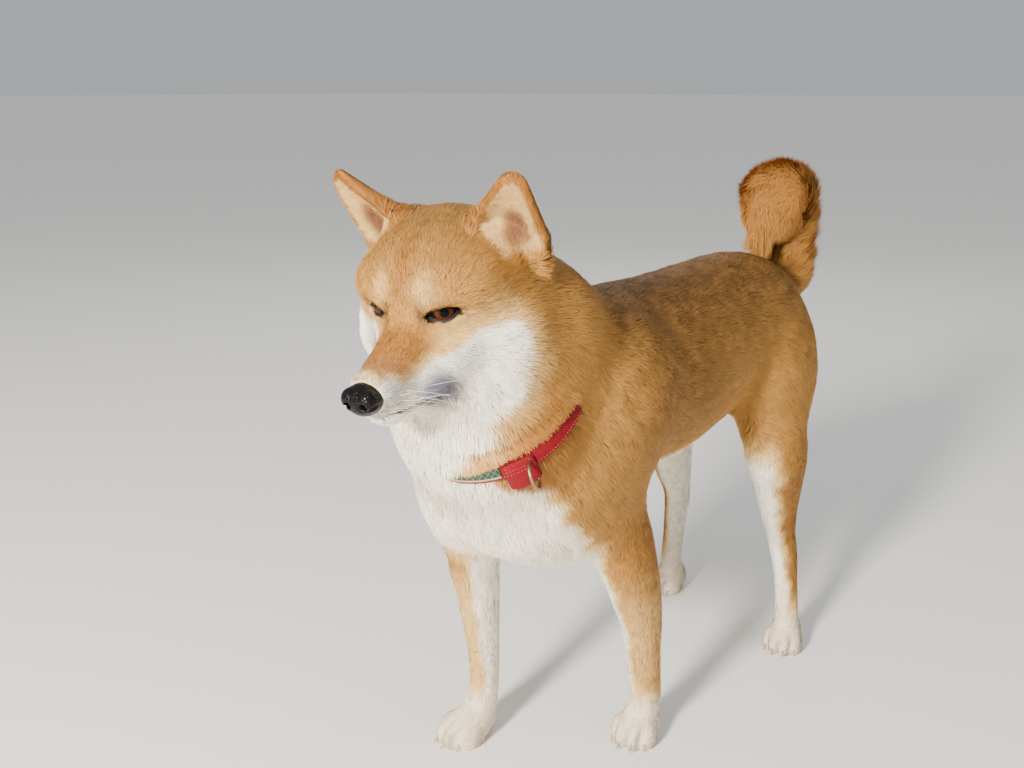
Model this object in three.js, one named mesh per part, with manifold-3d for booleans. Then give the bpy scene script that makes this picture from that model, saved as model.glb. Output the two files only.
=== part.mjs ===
// A shiba inu standing at ease, life size, in millimetres, +Z up.
// It faces -Y, its left side is +X, and the origin is on the floor under the middle of its box.
// The fur surface is one signed distance field, grown from named masses of the body.
// Each part of the body is meshed from that field and parted from its neighbours by thin plane cuts.
import * as THREE from 'three';
import { mergeVertices } from 'three/addons/utils/BufferGeometryUtils.js';
import Module from 'manifold-3d';

const wasm = await Module();
wasm.setup();

// driving sizes
const GAP = 0.3;
const FLOOR = 0;

// The body is laid out about a point on the floor under its middle, then moved to the box centre.
const SHIFT = [3.08, 56.43, 0];

const HEAD = { centre: [-19, -304, 413], yaw: 8.8, pitch: 11.5, roll: -1.6 };

// How finely each part is meshed.
const CELL = { torso: 24, neck: 19, head: 10.5, ear: 5.8, leg: 13, paw: 7.6, nose: 5, tail: 15, mouth: 9 };

// Underline: the plane that parts the legs from the trunk, just under the belly and chest.
const UNDER = { height: 210, rise: 0.235 };

// distance field helpers
const degrees = (angle) => (angle * Math.PI) / 180;

function turnMatrix([ax, ay, az]) {
  const m = new THREE.Matrix4().makeRotationFromEuler(
    new THREE.Euler(degrees(ax), degrees(ay), degrees(az), 'ZYX'));
  return m.elements;
}

// An ellipsoid with its own turn.
function mass(centre, radii, turn = [0, 0, 0]) {
  const e = turnMatrix(turn);
  const [cx, cy, cz] = centre;
  const [rx, ry, rz] = radii;
  return (x, y, z) => {
    const dx = x - cx;
    const dy = y - cy;
    const dz = z - cz;
    const u = (e[0] * dx + e[1] * dy + e[2] * dz) / rx;
    const v = (e[4] * dx + e[5] * dy + e[6] * dz) / ry;
    const w = (e[8] * dx + e[9] * dy + e[10] * dz) / rz;
    const k0 = Math.sqrt(u * u + v * v + w * w);
    const k1 = Math.sqrt((u / rx) ** 2 + (v / ry) ** 2 + (w / rz) ** 2);
    return k1 < 1e-9 ? -Math.min(rx, ry, rz) : (k0 * (k0 - 1)) / k1;
  };
}

// A tapered rod with round ends, optionally drawn out along an axis.
function rod(from, to, r0, r1, stretch = [1, 1, 1]) {
  const a = from.map((value, i) => value / stretch[i]);
  const b = to.map((value, i) => value / stretch[i]);
  const along = [b[0] - a[0], b[1] - a[1], b[2] - a[2]];
  const length2 = along[0] ** 2 + along[1] ** 2 + along[2] ** 2;
  const least = Math.min(...stretch);
  return (x, y, z) => {
    const px = x / stretch[0] - a[0];
    const py = y / stretch[1] - a[1];
    const pz = z / stretch[2] - a[2];
    const t = Math.min(1, Math.max(0, (px * along[0] + py * along[1] + pz * along[2]) / length2));
    const d = Math.hypot(px - t * along[0], py - t * along[1], pz - t * along[2]);
    return (d - r0 - t * (r1 - r0)) * least;
  };
}

// A cone with round ends, its side running straight from one ball to the other.
function cone(from, to, r0, r1, stretch = [1, 1, 1]) {
  const a = new THREE.Vector3(...from.map((value, i) => value / stretch[i]));
  const b = new THREE.Vector3(...to.map((value, i) => value / stretch[i]));
  const reach = a.distanceTo(b);
  const along = b.clone().sub(a).normalize();
  const lean = (r0 - r1) / reach;
  const back = lean / Math.sqrt(1 - lean * lean);
  const least = Math.min(...stretch);
  return (x, y, z) => {
    const px = x / stretch[0] - a.x;
    const py = y / stretch[1] - a.y;
    const pz = z / stretch[2] - a.z;
    const s = px * along.x + py * along.y + pz * along.z;
    const off = Math.hypot(px - s * along.x, py - s * along.y, pz - s * along.z);
    const t = Math.min(reach, Math.max(0, s - off * back));
    return (Math.hypot(s - t, off) - r0 + lean * t) * least;
  };
}

// The same shape, turned about an upright line through a point.
function turned(shape, angle, [px, py]) {
  const c = Math.cos(degrees(angle));
  const s = Math.sin(degrees(angle));
  return (x, y, z) => shape(c * (x - px) + s * (y - py) + px, c * (y - py) - s * (x - px) + py, z);
}

// Two distances joined with a soft fillet of the given size.
function blend(a, b, k) {
  const h = Math.max(k - Math.abs(a - b), 0) / k;
  return Math.min(a, b) - h * h * k * 0.25;
}

// Several shapes melted together.
const melt = (k, ...shapes) => (x, y, z) => shapes.reduce((d, s) => blend(d, s(x, y, z), k), 1e3);

// One shape scooped out by another.
const hollow = (k, shape, cutter) => (x, y, z) => -blend(-shape(x, y, z), cutter(x, y, z), k);

// The same shape on both sides of the middle plane.
const paired = (shape) => (x, y, z) => shape(Math.abs(x), y, z);

// trunk and neck
const ribs = mass([0, -62, 318], [80, 140, 86], [-4, 0, 0]);
const loin = mass([0, 62, 330], [72, 130, 77], [0, 0, 0]);
const croup = mass([0, 138, 332], [70, 80, 72], [8, 0, 0]);
const forechest = mass([-12, -196, 278], [86, 66, 88], [-10, 0, 0]);
const rightShoulder = mass([-62, -194, 266], [34, 54, 88], [-4, 0, 0]);
const brisket = mass([8, -154, 228], [54, 62, 50]);
const leftShoulder = mass([54, -146, 304], [30, 46, 80], [-12, 0, 0]);

const neckTrunk = rod([0, -150, 326], [-14, -240, 378], 76, 68, [0.98, 1, 1]);
const ruff = mass([-16, -242, 322], [81, 47, 64], [-24, 0, 0]);
const nape = mass([2, -206, 394], [60, 50, 52], [-20, 0, 0]);

// legs
const PAWS = {
  foreRight: [-58, -209],
  foreLeft: [59, -110],
  hindLeft: [84, 130],
  hindRight: [-84, 171],
};
const PAW_TURN = { foreRight: -14, foreLeft: 10, hindLeft: 12, hindRight: -8 };

// Each leg from the floor up: height, middle across and along, half width across and along.
const LIMBS = {
  foreLeft: [
    [14, 59, -101, 13.5, 17],
    [40, 60, -101, 13.6, 16],
    [58, 60.5, -103, 13.8, 15.4],
    [87, 59.6, -106, 15, 17.4],
    [117, 58.6, -110, 17.6, 21.6],
    [149, 57.5, -120, 20.8, 27],
    [185, 54, -131, 23, 33],
    [250, 44, -142, 22, 36],
  ],
  foreRight: [
    [14, -57, -198, 13.5, 17],
    [34, -56, -192, 13.4, 15.8],
    [52, -56.4, -188, 12.7, 14.2],
    [80, -57.4, -187.6, 13.4, 15.4],
    [110, -58.2, -190, 15.4, 18.4],
    [140, -58.8, -193, 17.6, 21.6],
    [170, -59, -196.5, 20.5, 26],
    [250, -52, -190, 24, 35],
  ],
  hindLeft: [
    [14, 83.5, 136, 12, 14],
    [43, 82.5, 134, 11.4, 13],
    [70, 79, 135.5, 11.4, 13],
    [95, 75, 137, 12.2, 16.2],
    [110, 72, 137, 13, 18],
    [126, 70.5, 133, 13.6, 19.5],
    [153, 72, 123, 16.5, 26],
    [181, 74, 115, 20, 34],
    [207, 74, 109, 24, 41],
    [236, 66, 114, 27, 47],
    [290, 52, 132, 25, 50],
  ],
  hindRight: [
    [14, -83, 178, 12, 14],
    [40, -83.4, 174.5, 11.4, 13],
    [68, -82.6, 176.5, 11.6, 13],
    [95, -82, 178.5, 12.2, 16.2],
    [110, -81, 178.5, 13, 18],
    [126, -80, 174.5, 13.6, 19.5],
    [150, -79, 165, 16.5, 26],
    [181, -76, 152, 20, 34],
    [207, -72, 142, 24, 41],
    [236, -65, 141, 27, 47],
    [290, -52, 154, 25, 50],
  ],
};
const LIMB_ROUNDING = 50;
const LEG_SCALE = { foreRight: 1, foreLeft: 1, hindLeft: 0.96, hindRight: 0.95 };

// Smooth values between the rows of a table, by their first column.
function between(rows, z) {
  let n = 0;
  while (n < rows.length - 2 && z > rows[n + 1][0]) n++;
  const low = rows[n];
  const high = rows[n + 1];
  const before = rows[Math.max(0, n - 1)];
  const after = rows[Math.min(rows.length - 1, n + 2)];
  const span = high[0] - low[0];
  const t = Math.min(1, Math.max(0, (z - low[0]) / span));
  const t2 = t * t;
  const t3 = t2 * t;
  return [1, 2, 3, 4].map((k) => {
    const into = ((high[k] - before[k]) / (high[0] - before[0])) * span;
    const out = ((after[k] - low[k]) / (after[0] - low[0])) * span;
    return low[k] * (2 * t3 - 3 * t2 + 1) + high[k] * (3 * t2 - 2 * t3)
      + into * (t3 - 2 * t2 + t) + out * (t3 - t2);
  });
}

// An upright leg of smoothly changing oval section, round at its top.
function limb(rows) {
  const foot = rows[0][0];
  const top = rows[rows.length - 1][0];
  return (x, y, z) => {
    const [cx, cy, across, along] = between(rows, z);
    const u = (x - cx) / across;
    const v = (y - cy) / along;
    const k0 = Math.hypot(u, v);
    const side = (k0 * (k0 - 1)) / Math.max(Math.hypot(u / across, v / along), 1e-6);
    const rounded = -blend(-Math.max(side, -across), top - z, LIMB_ROUNDING);
    return Math.max(rounded, foot - z);
  };
}

// Four toes: each one's middle across, along and up, and how far it is splayed.
const TOES = [[-6.6, -14, 10.5, 0], [6.6, -14, 10.5, 0], [-16, -6, 9.5, -6], [16, -6, 9.5, 6]];
const TOE = { middle: [8.4, 15, 13], outer: [7.8, 14, 12] };
const PAW_WIDTH = 0.88;

// A place in a paw's own frame, whose toes point along -Y, moved to where the paw stands.
function onPaw(name, [dx, dy, dz]) {
  const scale = LEG_SCALE[name];
  const c = Math.cos(degrees(PAW_TURN[name])) * scale;
  const s = Math.sin(degrees(PAW_TURN[name])) * scale;
  const across = dx * PAW_WIDTH;
  return [PAWS[name][0] + c * across - s * dy, PAWS[name][1] + s * across + c * dy, dz * scale];
}

function footprint(name) {
  const scale = LEG_SCALE[name];
  const size = ([rx, ry, rz]) => [rx * scale * PAW_WIDTH, ry * scale, rz * scale];
  const toes = TOES.map(([x, y, z, splay]) => mass(
    onPaw(name, [x, y, z]), size(splay ? TOE.outer : TOE.middle), [0, 0, PAW_TURN[name] + splay]));
  return melt(6, mass(onPaw(name, [0, 4, 15]), size([18, 22, 18]), [0, 0, PAW_TURN[name]]), ...toes);
}

const thigh = (side, hip) => mass([side * 54, hip, 284], [34, 62, 74], [-12, 0, 0]);
const leg = (name) => melt(6, limb(LIMBS[name]), footprint(name));

// tail
// From the croup up and over: places along its middle, and its radius at each.
const TAIL_LINE = [[4, 198, 358], [8, 229, 380], [8, 230, 398], [6, 226, 440], [8, 208, 456], [12, 184, 442]];
const TAIL_RADIUS = [24, 29.5, 27, 35, 38, 30];
const tail = melt(14, ...TAIL_LINE.slice(1).map(
  (place, n) => rod(TAIL_LINE[n], place, TAIL_RADIUS[n], TAIL_RADIUS[n + 1])));

// head, in its own frame
// Origin midway between the eyes, -Y forward along the muzzle, +Z up.
const headTurn = new THREE.Matrix4().makeRotationFromEuler(
  new THREE.Euler(degrees(HEAD.pitch), degrees(HEAD.roll), degrees(HEAD.yaw), 'ZXY'));

const skull = melt(16,
  mass([0, 51, 7], [63, 62, 55]),
  mass([0, 26, 6], [45, 39, 42]),
  paired(mass([44, 46, -32], [37, 42, 46])),
  paired(mass([27, 8, 14], [18, 14, 13])),
  paired(mass([40, 22, 13], [19, 20, 20])),
  paired(mass([40, 60, 38], [19, 18, 22])));
const muzzle = melt(10,
  rod([0, -6, -26], [0, -59, -36], 24.5, 16, [1.08, 1, 0.95]),
  rod([0, 4, -50], [0, -50, -53], 26, 14.5, [1.2, 1, 0.9]),
  paired(mass([18, 3, -40], [22, 36, 22])));
const faceField = melt(14, skull, muzzle);
const headField = (x, y, z) => blend(faceField(x, y, z), lidMass(x, y, z), 5);

// Nose leather, with a hollow nostril on each side.
const NOSE = { centre: [0, -71, -38], radii: [14, 12.5, 12] };
const noseSolid = mass(NOSE.centre, NOSE.radii);
const nostrils = paired(rod([6.4, -83, -38], [11.5, -77, -35], 2.7, 2));
const noseField = hollow(1.5, noseSolid, nostrils);

// Eyeball, with the slit between the lids tilted up to the outer corner.
const EYE = { centre: [24, 2.6, 0.5], radius: 11.5, turn: 35, slant: 6, slit: [24, 10], room: 0.5 };
const LID = { wide: 1.6, high: 0.5 };
const lidRadii = [EYE.radius + LID.wide, EYE.radius + LID.wide, EYE.radius + LID.high];
const lidMass = paired(mass(EYE.centre, lidRadii));

// The line of the closed mouth, seen from the side: from under the nose back to the corner.
const MOUTH = { from: [-92, -46], bend: [-44, -60], corner: [-6, -52], height: 1.8, depth: 3.5 };

function inHead(shape) {
  const e = headTurn.elements;
  const [cx, cy, cz] = HEAD.centre;
  return (x, y, z) => {
    const dx = x - cx;
    const dy = y - cy;
    const dz = z - cz;
    return shape(
      e[0] * dx + e[1] * dy + e[2] * dz,
      e[4] * dx + e[5] * dy + e[6] * dz,
      e[8] * dx + e[9] * dy + e[10] * dz);
  };
}
const head = inHead(headField);

// ears
const EAR = { foot: [49.5, 53, 26], turn: 20 };
const earSolid = turned(cone(EAR.foot, [66, 28, 80], 37, 13, [1, 0.42, 1]), EAR.turn, EAR.foot);
const earCup = turned(cone([50.5, 38, 30], [65.5, 20.5, 77.5], 30, 9.5, [1, 0.5, 1]), EAR.turn, EAR.foot);
const hollowEar = hollow(3, earSolid, earCup);

// whole body
const onSide = (side) => inHead((x, y, z) => Math.max(hollowEar(x * side, y, z), -x * side));
const trunk = melt(34,
  ribs, loin, croup, forechest, rightShoulder, leftShoulder, neckTrunk, ruff, nape, brisket);
const leftHind = melt(10, thigh(1, 134), leg('hindLeft'));
const rightHind = melt(10, thigh(-1, 156), leg('hindRight'));
const body = melt(18, trunk, leg('foreRight'), leg('foreLeft'), leftHind, rightHind, head);
const whole = melt(14, body, tail);

// meshing
// Surface nets: one vertex in each cell the surface passes through, drawn onto the surface.
function contour(field, low, high, cell) {
  const count = low.map((value, i) => Math.ceil((high[i] - value) / cell) + 3);
  const start = low.map((value) => value - cell);
  const [nx, ny, nz] = count;
  const closed = (x, y, z) => Math.max(field(x, y, z),
    low[0] - x, x - high[0], low[1] - y, y - high[1], low[2] - z, z - high[2]);
  const values = new Float64Array(nx * ny * nz);
  const at = (i, j, k) => i + nx * (j + ny * k);
  for (let k = 0; k < nz; k++) {
    for (let j = 0; j < ny; j++) {
      for (let i = 0; i < nx; i++) {
        values[at(i, j, k)] = closed(start[0] + i * cell, start[1] + j * cell, start[2] + k * cell);
      }
    }
  }
  const owner = new Int32Array(nx * ny * nz).fill(-1);
  const points = [];
  const edges = [];
  for (let a = 0; a < 8; a++) {
    for (const step of [1, 2, 4]) {
      if (!(a & step)) edges.push([a, a | step]);
    }
  }
  for (let k = 0; k < nz - 1; k++) {
    for (let j = 0; j < ny - 1; j++) {
      for (let i = 0; i < nx - 1; i++) {
        const sum = [0, 0, 0];
        let crossings = 0;
        for (const [a, b] of edges) {
          const va = values[at(i + (a & 1), j + ((a >> 1) & 1), k + (a >> 2))];
          const vb = values[at(i + (b & 1), j + ((b >> 1) & 1), k + (b >> 2))];
          if ((va < 0) === (vb < 0)) continue;
          const t = va / (va - vb);
          sum[0] += (a & 1) + t * ((b & 1) - (a & 1));
          sum[1] += ((a >> 1) & 1) + t * (((b >> 1) & 1) - ((a >> 1) & 1));
          sum[2] += (a >> 2) + t * ((b >> 2) - (a >> 2));
          crossings++;
        }
        if (!crossings) continue;
        owner[at(i, j, k)] = points.length / 3;
        const p = [i, j, k].map((value, n) => start[n] + (value + sum[n] / crossings) * cell);
        settle(closed, p, cell);
        points.push(...p);
      }
    }
  }
  const faces = [];
  const square = (a, b, c, d, flip) => {
    const span = (p, q) => Math.hypot(points[3 * p] - points[3 * q],
      points[3 * p + 1] - points[3 * q + 1], points[3 * p + 2] - points[3 * q + 2]);
    const ring = flip ? [a, d, c, b] : [a, b, c, d];
    const [p, q, r, s] = ring;
    if (span(p, r) <= span(q, s)) faces.push(p, q, r, p, r, s);
    else faces.push(p, q, s, q, r, s);
  };
  for (let k = 1; k < nz - 1; k++) {
    for (let j = 1; j < ny - 1; j++) {
      for (let i = 1; i < nx - 1; i++) {
        const inside = values[at(i, j, k)] < 0;
        if (inside !== values[at(i + 1, j, k)] < 0) {
          square(owner[at(i, j - 1, k - 1)], owner[at(i, j, k - 1)],
            owner[at(i, j, k)], owner[at(i, j - 1, k)], !inside);
        }
        if (inside !== values[at(i, j + 1, k)] < 0) {
          square(owner[at(i - 1, j, k - 1)], owner[at(i - 1, j, k)],
            owner[at(i, j, k)], owner[at(i, j, k - 1)], !inside);
        }
        if (inside !== values[at(i, j, k + 1)] < 0) {
          square(owner[at(i - 1, j - 1, k)], owner[at(i, j - 1, k)],
            owner[at(i, j, k)], owner[at(i - 1, j, k)], !inside);
        }
      }
    }
  }
  return solid(points, faces);
}

// Moves a point along the slope of the field until it lies on the surface.
function settle(field, p, cell) {
  const from = [...p];
  const h = 0.05;
  for (let round = 0; round < 3; round++) {
    const d = field(...p);
    const slope = [0, 1, 2].map((n) => {
      const q = [...p];
      q[n] += h;
      return (field(...q) - d) / h;
    });
    const steep = slope[0] ** 2 + slope[1] ** 2 + slope[2] ** 2;
    if (steep < 1e-4) return;
    for (let n = 0; n < 3; n++) {
      const moved = p[n] - (slope[n] * d) / steep;
      p[n] = Math.min(from[n] + cell * 0.45, Math.max(from[n] - cell * 0.45, moved));
    }
  }
}

function solid(points, faces) {
  return new wasm.Manifold(new wasm.Mesh({
    numProp: 3, vertProperties: new Float32Array(points), triVerts: new Uint32Array(faces),
  }));
}

function solidFrom(geometry) {
  const bare = geometry.index ? geometry.clone() : mergeVertices(geometry);
  bare.deleteAttribute('normal');
  bare.deleteAttribute('uv');
  const merged = mergeVertices(bare, 1e-4);
  return solid(merged.attributes.position.array, merged.index.array);
}

// Everything on the far side of a plane from its normal, as a very large block.
function behind(point, normal) {
  const size = 3000;
  const box = new THREE.BoxGeometry(size, size, size);
  box.translate(0, 0, -size / 2);
  const turn = new THREE.Quaternion().setFromUnitVectors(
    new THREE.Vector3(0, 0, 1), new THREE.Vector3(...normal).normalize());
  box.applyQuaternion(turn);
  box.translate(...point);
  return solidFrom(box);
}

function largest(shape) {
  return shape.decompose().sort((a, b) => b.volume() - a.volume())[0];
}

function trim(shape, ...planes) {
  let left = shape;
  for (const [point, normal, back = GAP / 2] of planes) {
    const n = new THREE.Vector3(...normal).normalize();
    const p = point.map((value, i) => value - back * n.getComponent(i));
    left = left.intersect(behind(p, normal));
  }
  return largest(left);
}

const opposite = ([point, normal]) => [point, normal.map((value) => -value)];

// cuts between the parts
// Each plane keeps the side its normal points away from.
const ground = [[0, 0, FLOOR], [0, 0, -1], 0];
const underline = [[0, 0, UNDER.height], [0, UNDER.rise, -1]];
const throat = [[-10, -232, 388], [0.05, 0.737, -0.676]];
const shoulderLine = [[0, -200, 316], [0, 0.627, -0.78]];
const tailRoot = [[0, 200, 380], [0, 0.8, 0.6]];
const tailBend = [[0, 226, 412], [0, 0.12, 1]];
const wristLine = [[0, 0, 46], [0, 0, -1]];

// Moves a geometry from the head's own frame into the body's.
function poseHead(geometry) {
  geometry.applyMatrix4(headTurn);
  geometry.translate(...HEAD.centre);
  return geometry;
}

// The ball of an eye; grown by the gap it cuts its own socket.
function eyeball(side, grow = 0) {
  const ball = new THREE.SphereGeometry(EYE.radius + grow, 14, 10);
  ball.rotateX(Math.PI / 2);
  ball.translate(side * EYE.centre[0], EYE.centre[1], EYE.centre[2]);
  return solidFrom(poseHead(ball));
}

// The almond opening between the lids, as a prism along the eye's own line of sight.
function eyeSlit(side) {
  const [width, height] = EYE.slit;
  const almond = new THREE.Shape();
  almond.moveTo(-width / 2, -0.6);
  almond.quadraticCurveTo(-width * 0.1, height * 0.95, width / 2, 0.6);
  almond.quadraticCurveTo(width * 0.1, -height * 0.95, -width / 2, -0.6);
  const prism = new THREE.ExtrudeGeometry(almond, { depth: 30, bevelEnabled: false, curveSegments: 7 });
  prism.rotateZ(degrees(EYE.slant));
  prism.rotateX(Math.PI / 2);
  prism.rotateZ(degrees(EYE.turn));
  if (side < 0) mirror(prism);
  prism.translate(side * EYE.centre[0], EYE.centre[1], EYE.centre[2]);
  return solidFrom(poseHead(prism));
}

// Mirrors a closed geometry in the middle plane, keeping its faces outward.
function mirror(geometry) {
  geometry.scale(-1, 1, 1);
  const count = geometry.index ? geometry.index.count : geometry.attributes.position.count;
  if (!geometry.index) geometry.setIndex([...Array(count).keys()]);
  const index = geometry.index;
  for (let i = 0; i < index.count; i += 3) {
    const first = index.getX(i);
    index.setX(i, index.getX(i + 1));
    index.setX(i + 1, first);
  }
  return geometry;
}

// A slot that follows the mouth line round the muzzle, as deep as MOUTH.depth.
function mouthLine() {
  const { from, bend, corner, height, depth } = MOUTH;
  const line = new THREE.Shape();
  line.moveTo(from[0], from[1] + height / 2);
  line.quadraticCurveTo(bend[0], bend[1] + height / 2, corner[0], corner[1] + height / 2);
  line.lineTo(corner[0], corner[1] - height / 2);
  line.quadraticCurveTo(bend[0], bend[1] - height / 2, from[0], from[1] - height / 2);
  const slab = new THREE.ExtrudeGeometry(line, { depth: 120, bevelEnabled: false, curveSegments: 5 });
  slab.translate(0, 0, -60);
  const frame = new THREE.Matrix4().makeBasis(
    new THREE.Vector3(0, 1, 0), new THREE.Vector3(0, 0, 1), new THREE.Vector3(1, 0, 0));
  slab.applyMatrix4(frame);
  const inner = contour(inHead((x, y, z) => faceField(x, y, z) + depth), ...REACH.head, CELL.mouth);
  return solidFrom(poseHead(slab)).subtract(inner);
}

// A soft edge round the mouth line, which the slot then parts into the upper and lower lip.
// It starts a little way back along the mouth line, under the nose.
const LIP = { radius: 1.9, sides: 4, steps: 16, start: 0.24, easing: 1.3, sunk: 0.8 };

function lips() {
  const { from, bend, corner } = MOUTH;
  const side = new THREE.QuadraticBezierCurve(
    new THREE.Vector2(...from), new THREE.Vector2(...bend), new THREE.Vector2(...corner));
  const points = [];
  for (let n = -LIP.steps / 2; n <= LIP.steps / 2; n++) {
    const turn = Math.abs(n) / (LIP.steps / 2);
    const at = side.getPoint(LIP.start + (1 - LIP.start) * turn ** LIP.easing);
    let reach = 0;
    while (faceField(reach, at.x, at.y) < 0) reach += 0.25;
    points.push(new THREE.Vector3(Math.sign(n) * Math.max(0, reach - LIP.sunk), at.x, at.y));
  }
  const path = new THREE.CatmullRomCurve3(points);
  const ring = new THREE.Shape();
  ring.absarc(0, 0, LIP.radius, 0, 2 * Math.PI);
  const tube = new THREE.ExtrudeGeometry(ring, {
    steps: LIP.steps * 2, extrudePath: path, curveSegments: LIP.sides / 2, bevelEnabled: false,
  });
  return solidFrom(poseHead(tube));
}

// The brush: flat tapered locks in rings along the tail, each bending back along its lie.
// A lock's stations: the share of its length, the depth under the fur and the share of its width.
const BRUSH = {
  core: 9,
  length: 40,
  width: 24,
  thickness: 6,
  stations: [[0, 16, 0.7], [0.36, 7, 1], [0.74, 1, 0.62], [1, -1.5, 0]],
  rootOut: 12,
  lowest: 366,
  lean: 0.35,
  stray: 0.3,
  across: 6,
  rings: 7,
  seed: 19,
};
// The core is drawn in from here on, where z + slope * y passes this value.
const DRAWN_IN = { slope: 0.8, from: 545, over: 25 };

function dice(seed) {
  let state = seed;
  return () => {
    state = (state * 16807) % 2147483647;
    return state / 2147483647;
  };
}

// Moves a point along the slope of the tail's field to a given depth below its surface.
function sink(p, depth) {
  const at = [...p];
  settle((x, y, z) => tail(x, y, z) + depth, at, 60);
  return new THREE.Vector3(...at);
}

// One lock: rings of four corners along the lie, rising from deep in the tail to its surface.
function lock(root, out, lie) {
  const points = [];
  for (const [t, depth, swell] of BRUSH.stations) {
    const at = sink(root.clone().addScaledVector(lie, BRUSH.length * t), depth);
    if (swell === 0) {
      points.push(...at.toArray());
      break;
    }
    const side = new THREE.Vector3().crossVectors(out, lie).normalize();
    for (const [u, v] of [[1, 0], [0, 1], [-1, 0], [0, -1]]) {
      points.push(...at.clone().addScaledVector(side, (u * BRUSH.width * swell) / 2)
        .addScaledVector(out, (v * BRUSH.thickness * swell) / 2).toArray());
    }
  }
  const last = BRUSH.stations.length - 2;
  const faces = [0, 2, 1, 0, 3, 2];
  for (let n = 0; n < last; n++) {
    for (let k = 0; k < 4; k++) {
      const m = (k + 1) % 4;
      faces.push(4 * n + k, 4 * n + m, 4 * n + 4 + m, 4 * n + k, 4 * n + 4 + m, 4 * n + 4 + k);
    }
  }
  for (let k = 0; k < 4; k++) faces.push(4 * last + k, 4 * last + ((k + 1) % 4), 4 * last + 4);
  const made = solid(points, faces);
  if (made.volume() > 0) return made;
  return solid(points, faces.map((_, i) => faces[i - (i % 3) + [0, 2, 1][i % 3]]));
}

function brush(core) {
  const roll = dice(BRUSH.seed);
  const line = new THREE.CatmullRomCurve3(TAIL_LINE.map((p) => new THREE.Vector3(...p)));
  let whole = core;
  for (let ring = 0; ring < BRUSH.rings; ring++) {
    const t = (ring + 0.5) / BRUSH.rings;
    const middle = line.getPoint(t);
    const tangent = line.getTangent(t).normalize();
    const first = new THREE.Vector3(1, 0, 0).cross(tangent).normalize();
    const second = tangent.clone().cross(first).normalize();
    for (let n = 0; n < BRUSH.across; n++) {
      const angle = ((n + (ring % 2) / 2 + BRUSH.stray * roll()) / BRUSH.across) * 2 * Math.PI;
      const out = first.clone().multiplyScalar(Math.cos(angle)).addScaledVector(second, Math.sin(angle));
      const root = middle.clone().addScaledVector(out, BRUSH.rootOut);
      if (root.z < BRUSH.lowest) continue;
      const lean = tangent.clone().addScaledVector(out, BRUSH.lean * roll()).normalize();
      whole = whole.add(lock(root, out, lean));
    }
  }
  return whole;
}

// Collar: a band lying in its own plane round the neck, pressed a little into the fur.
const COLLAR = {
  centre: [4, -206, 354],
  ahead: [0, 0.78, 0.627],
  normal: [0, -0.627, 0.78],
  width: 16,
  thickness: 2.6,
  proud: 0.6,
  steps: 40,
};
// The strap end folded over the band: its two ends round the neck, its edges and its top.
const KEEPER = { from: -67, to: -53, low: -19, high: 5, top: 4.6, steps: 4 };
const RIBBON = { from: -158, to: -69, width: 10.4, thickness: 1.3, steps: 10 };
const RING = { at: -55, radius: 10.5, wire: 1.4, out: 9, drop: -8, sides: 6, steps: 20 };
const CLEAR = 30;

// Distance from the collar's middle to the fur, at an angle round the neck and a height across it.
function girth(angle, rise) {
  const { centre, ahead, normal } = COLLAR;
  const c = Math.cos(angle);
  const s = Math.sin(angle);
  const way = [c + s * ahead[0], s * ahead[1], s * ahead[2]];
  let inside = 20;
  let outside = 160;
  while (outside - inside > 1e-5) {
    const middle = (inside + outside) / 2;
    const p = centre.map((value, i) => value + way[i] * middle + normal[i] * rise);
    if (trunk(...p) < 0) inside = middle;
    else outside = middle;
  }
  return [inside, way];
}

// A strip of the collar from one angle to another; its faces lie the given heights off the fur.
function strip(from, to, low, high, under, over, steps) {
  const closed = Math.abs(to - from) > 6.2;
  const rings = closed ? steps : steps + 1;
  const points = [];
  for (let n = 0; n < rings; n++) {
    const angle = from + ((to - from) * n) / steps;
    for (const [rise, lift] of [[low, under], [low, over], [high, over], [high, under]]) {
      const [reach, way] = girth(angle, rise);
      points.push(...COLLAR.centre.map(
        (value, i) => value + way[i] * (reach + lift) + COLLAR.normal[i] * rise));
    }
  }
  const faces = [];
  for (let n = 0; n < steps; n++) {
    const a = 4 * n;
    const b = 4 * ((n + 1) % rings);
    for (let k = 0; k < 4; k++) {
      const m = (k + 1) % 4;
      faces.push(a + k, b + m, a + m, a + k, b + k, b + m);
    }
  }
  if (!closed) {
    const end = 4 * steps;
    faces.push(0, 1, 2, 0, 2, 3, end, end + 2, end + 1, end, end + 3, end + 2);
  }
  return solid(points, faces);
}

const group = new THREE.Group();
group.position.set(...SHIFT);

// Welds corners that lie closer than a hair and drops the slivers that this closes.
// A wider hair is tried until every edge is shared by just two faces.
const HAIRS = [0.005, 0.01, 0.02, 0.03, 0.05, 0.08, 0.12, 0.16, 0.2, 0.3, 0.4];

function weld(shape) {
  const mesh = shape.getMesh();
  const loose = new THREE.BufferGeometry();
  loose.setAttribute('position', new THREE.BufferAttribute(mesh.vertProperties, 3));
  loose.setIndex(new THREE.BufferAttribute(mesh.triVerts, 1));
  for (const hair of HAIRS) {
    const joined = mergeVertices(loose, hair);
    const faces = wholeFaces(joined.index.array);
    if (closed(faces)) return largest(solid(joined.attributes.position.array, faces));
  }
  throw new Error('a part stays open');
}

// Leaves out faces that have closed to a line, and pairs that have closed on each other.
function wholeFaces(index) {
  const byCorners = new Map();
  for (let i = 0; i < index.length; i += 3) {
    const face = [...index.slice(i, i + 3)];
    if (new Set(face).size < 3) continue;
    const key = [...face].sort((a, b) => a - b).join(' ');
    if (byCorners.has(key)) byCorners.delete(key);
    else byCorners.set(key, face);
  }
  return [...byCorners.values()].flat();
}

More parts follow.
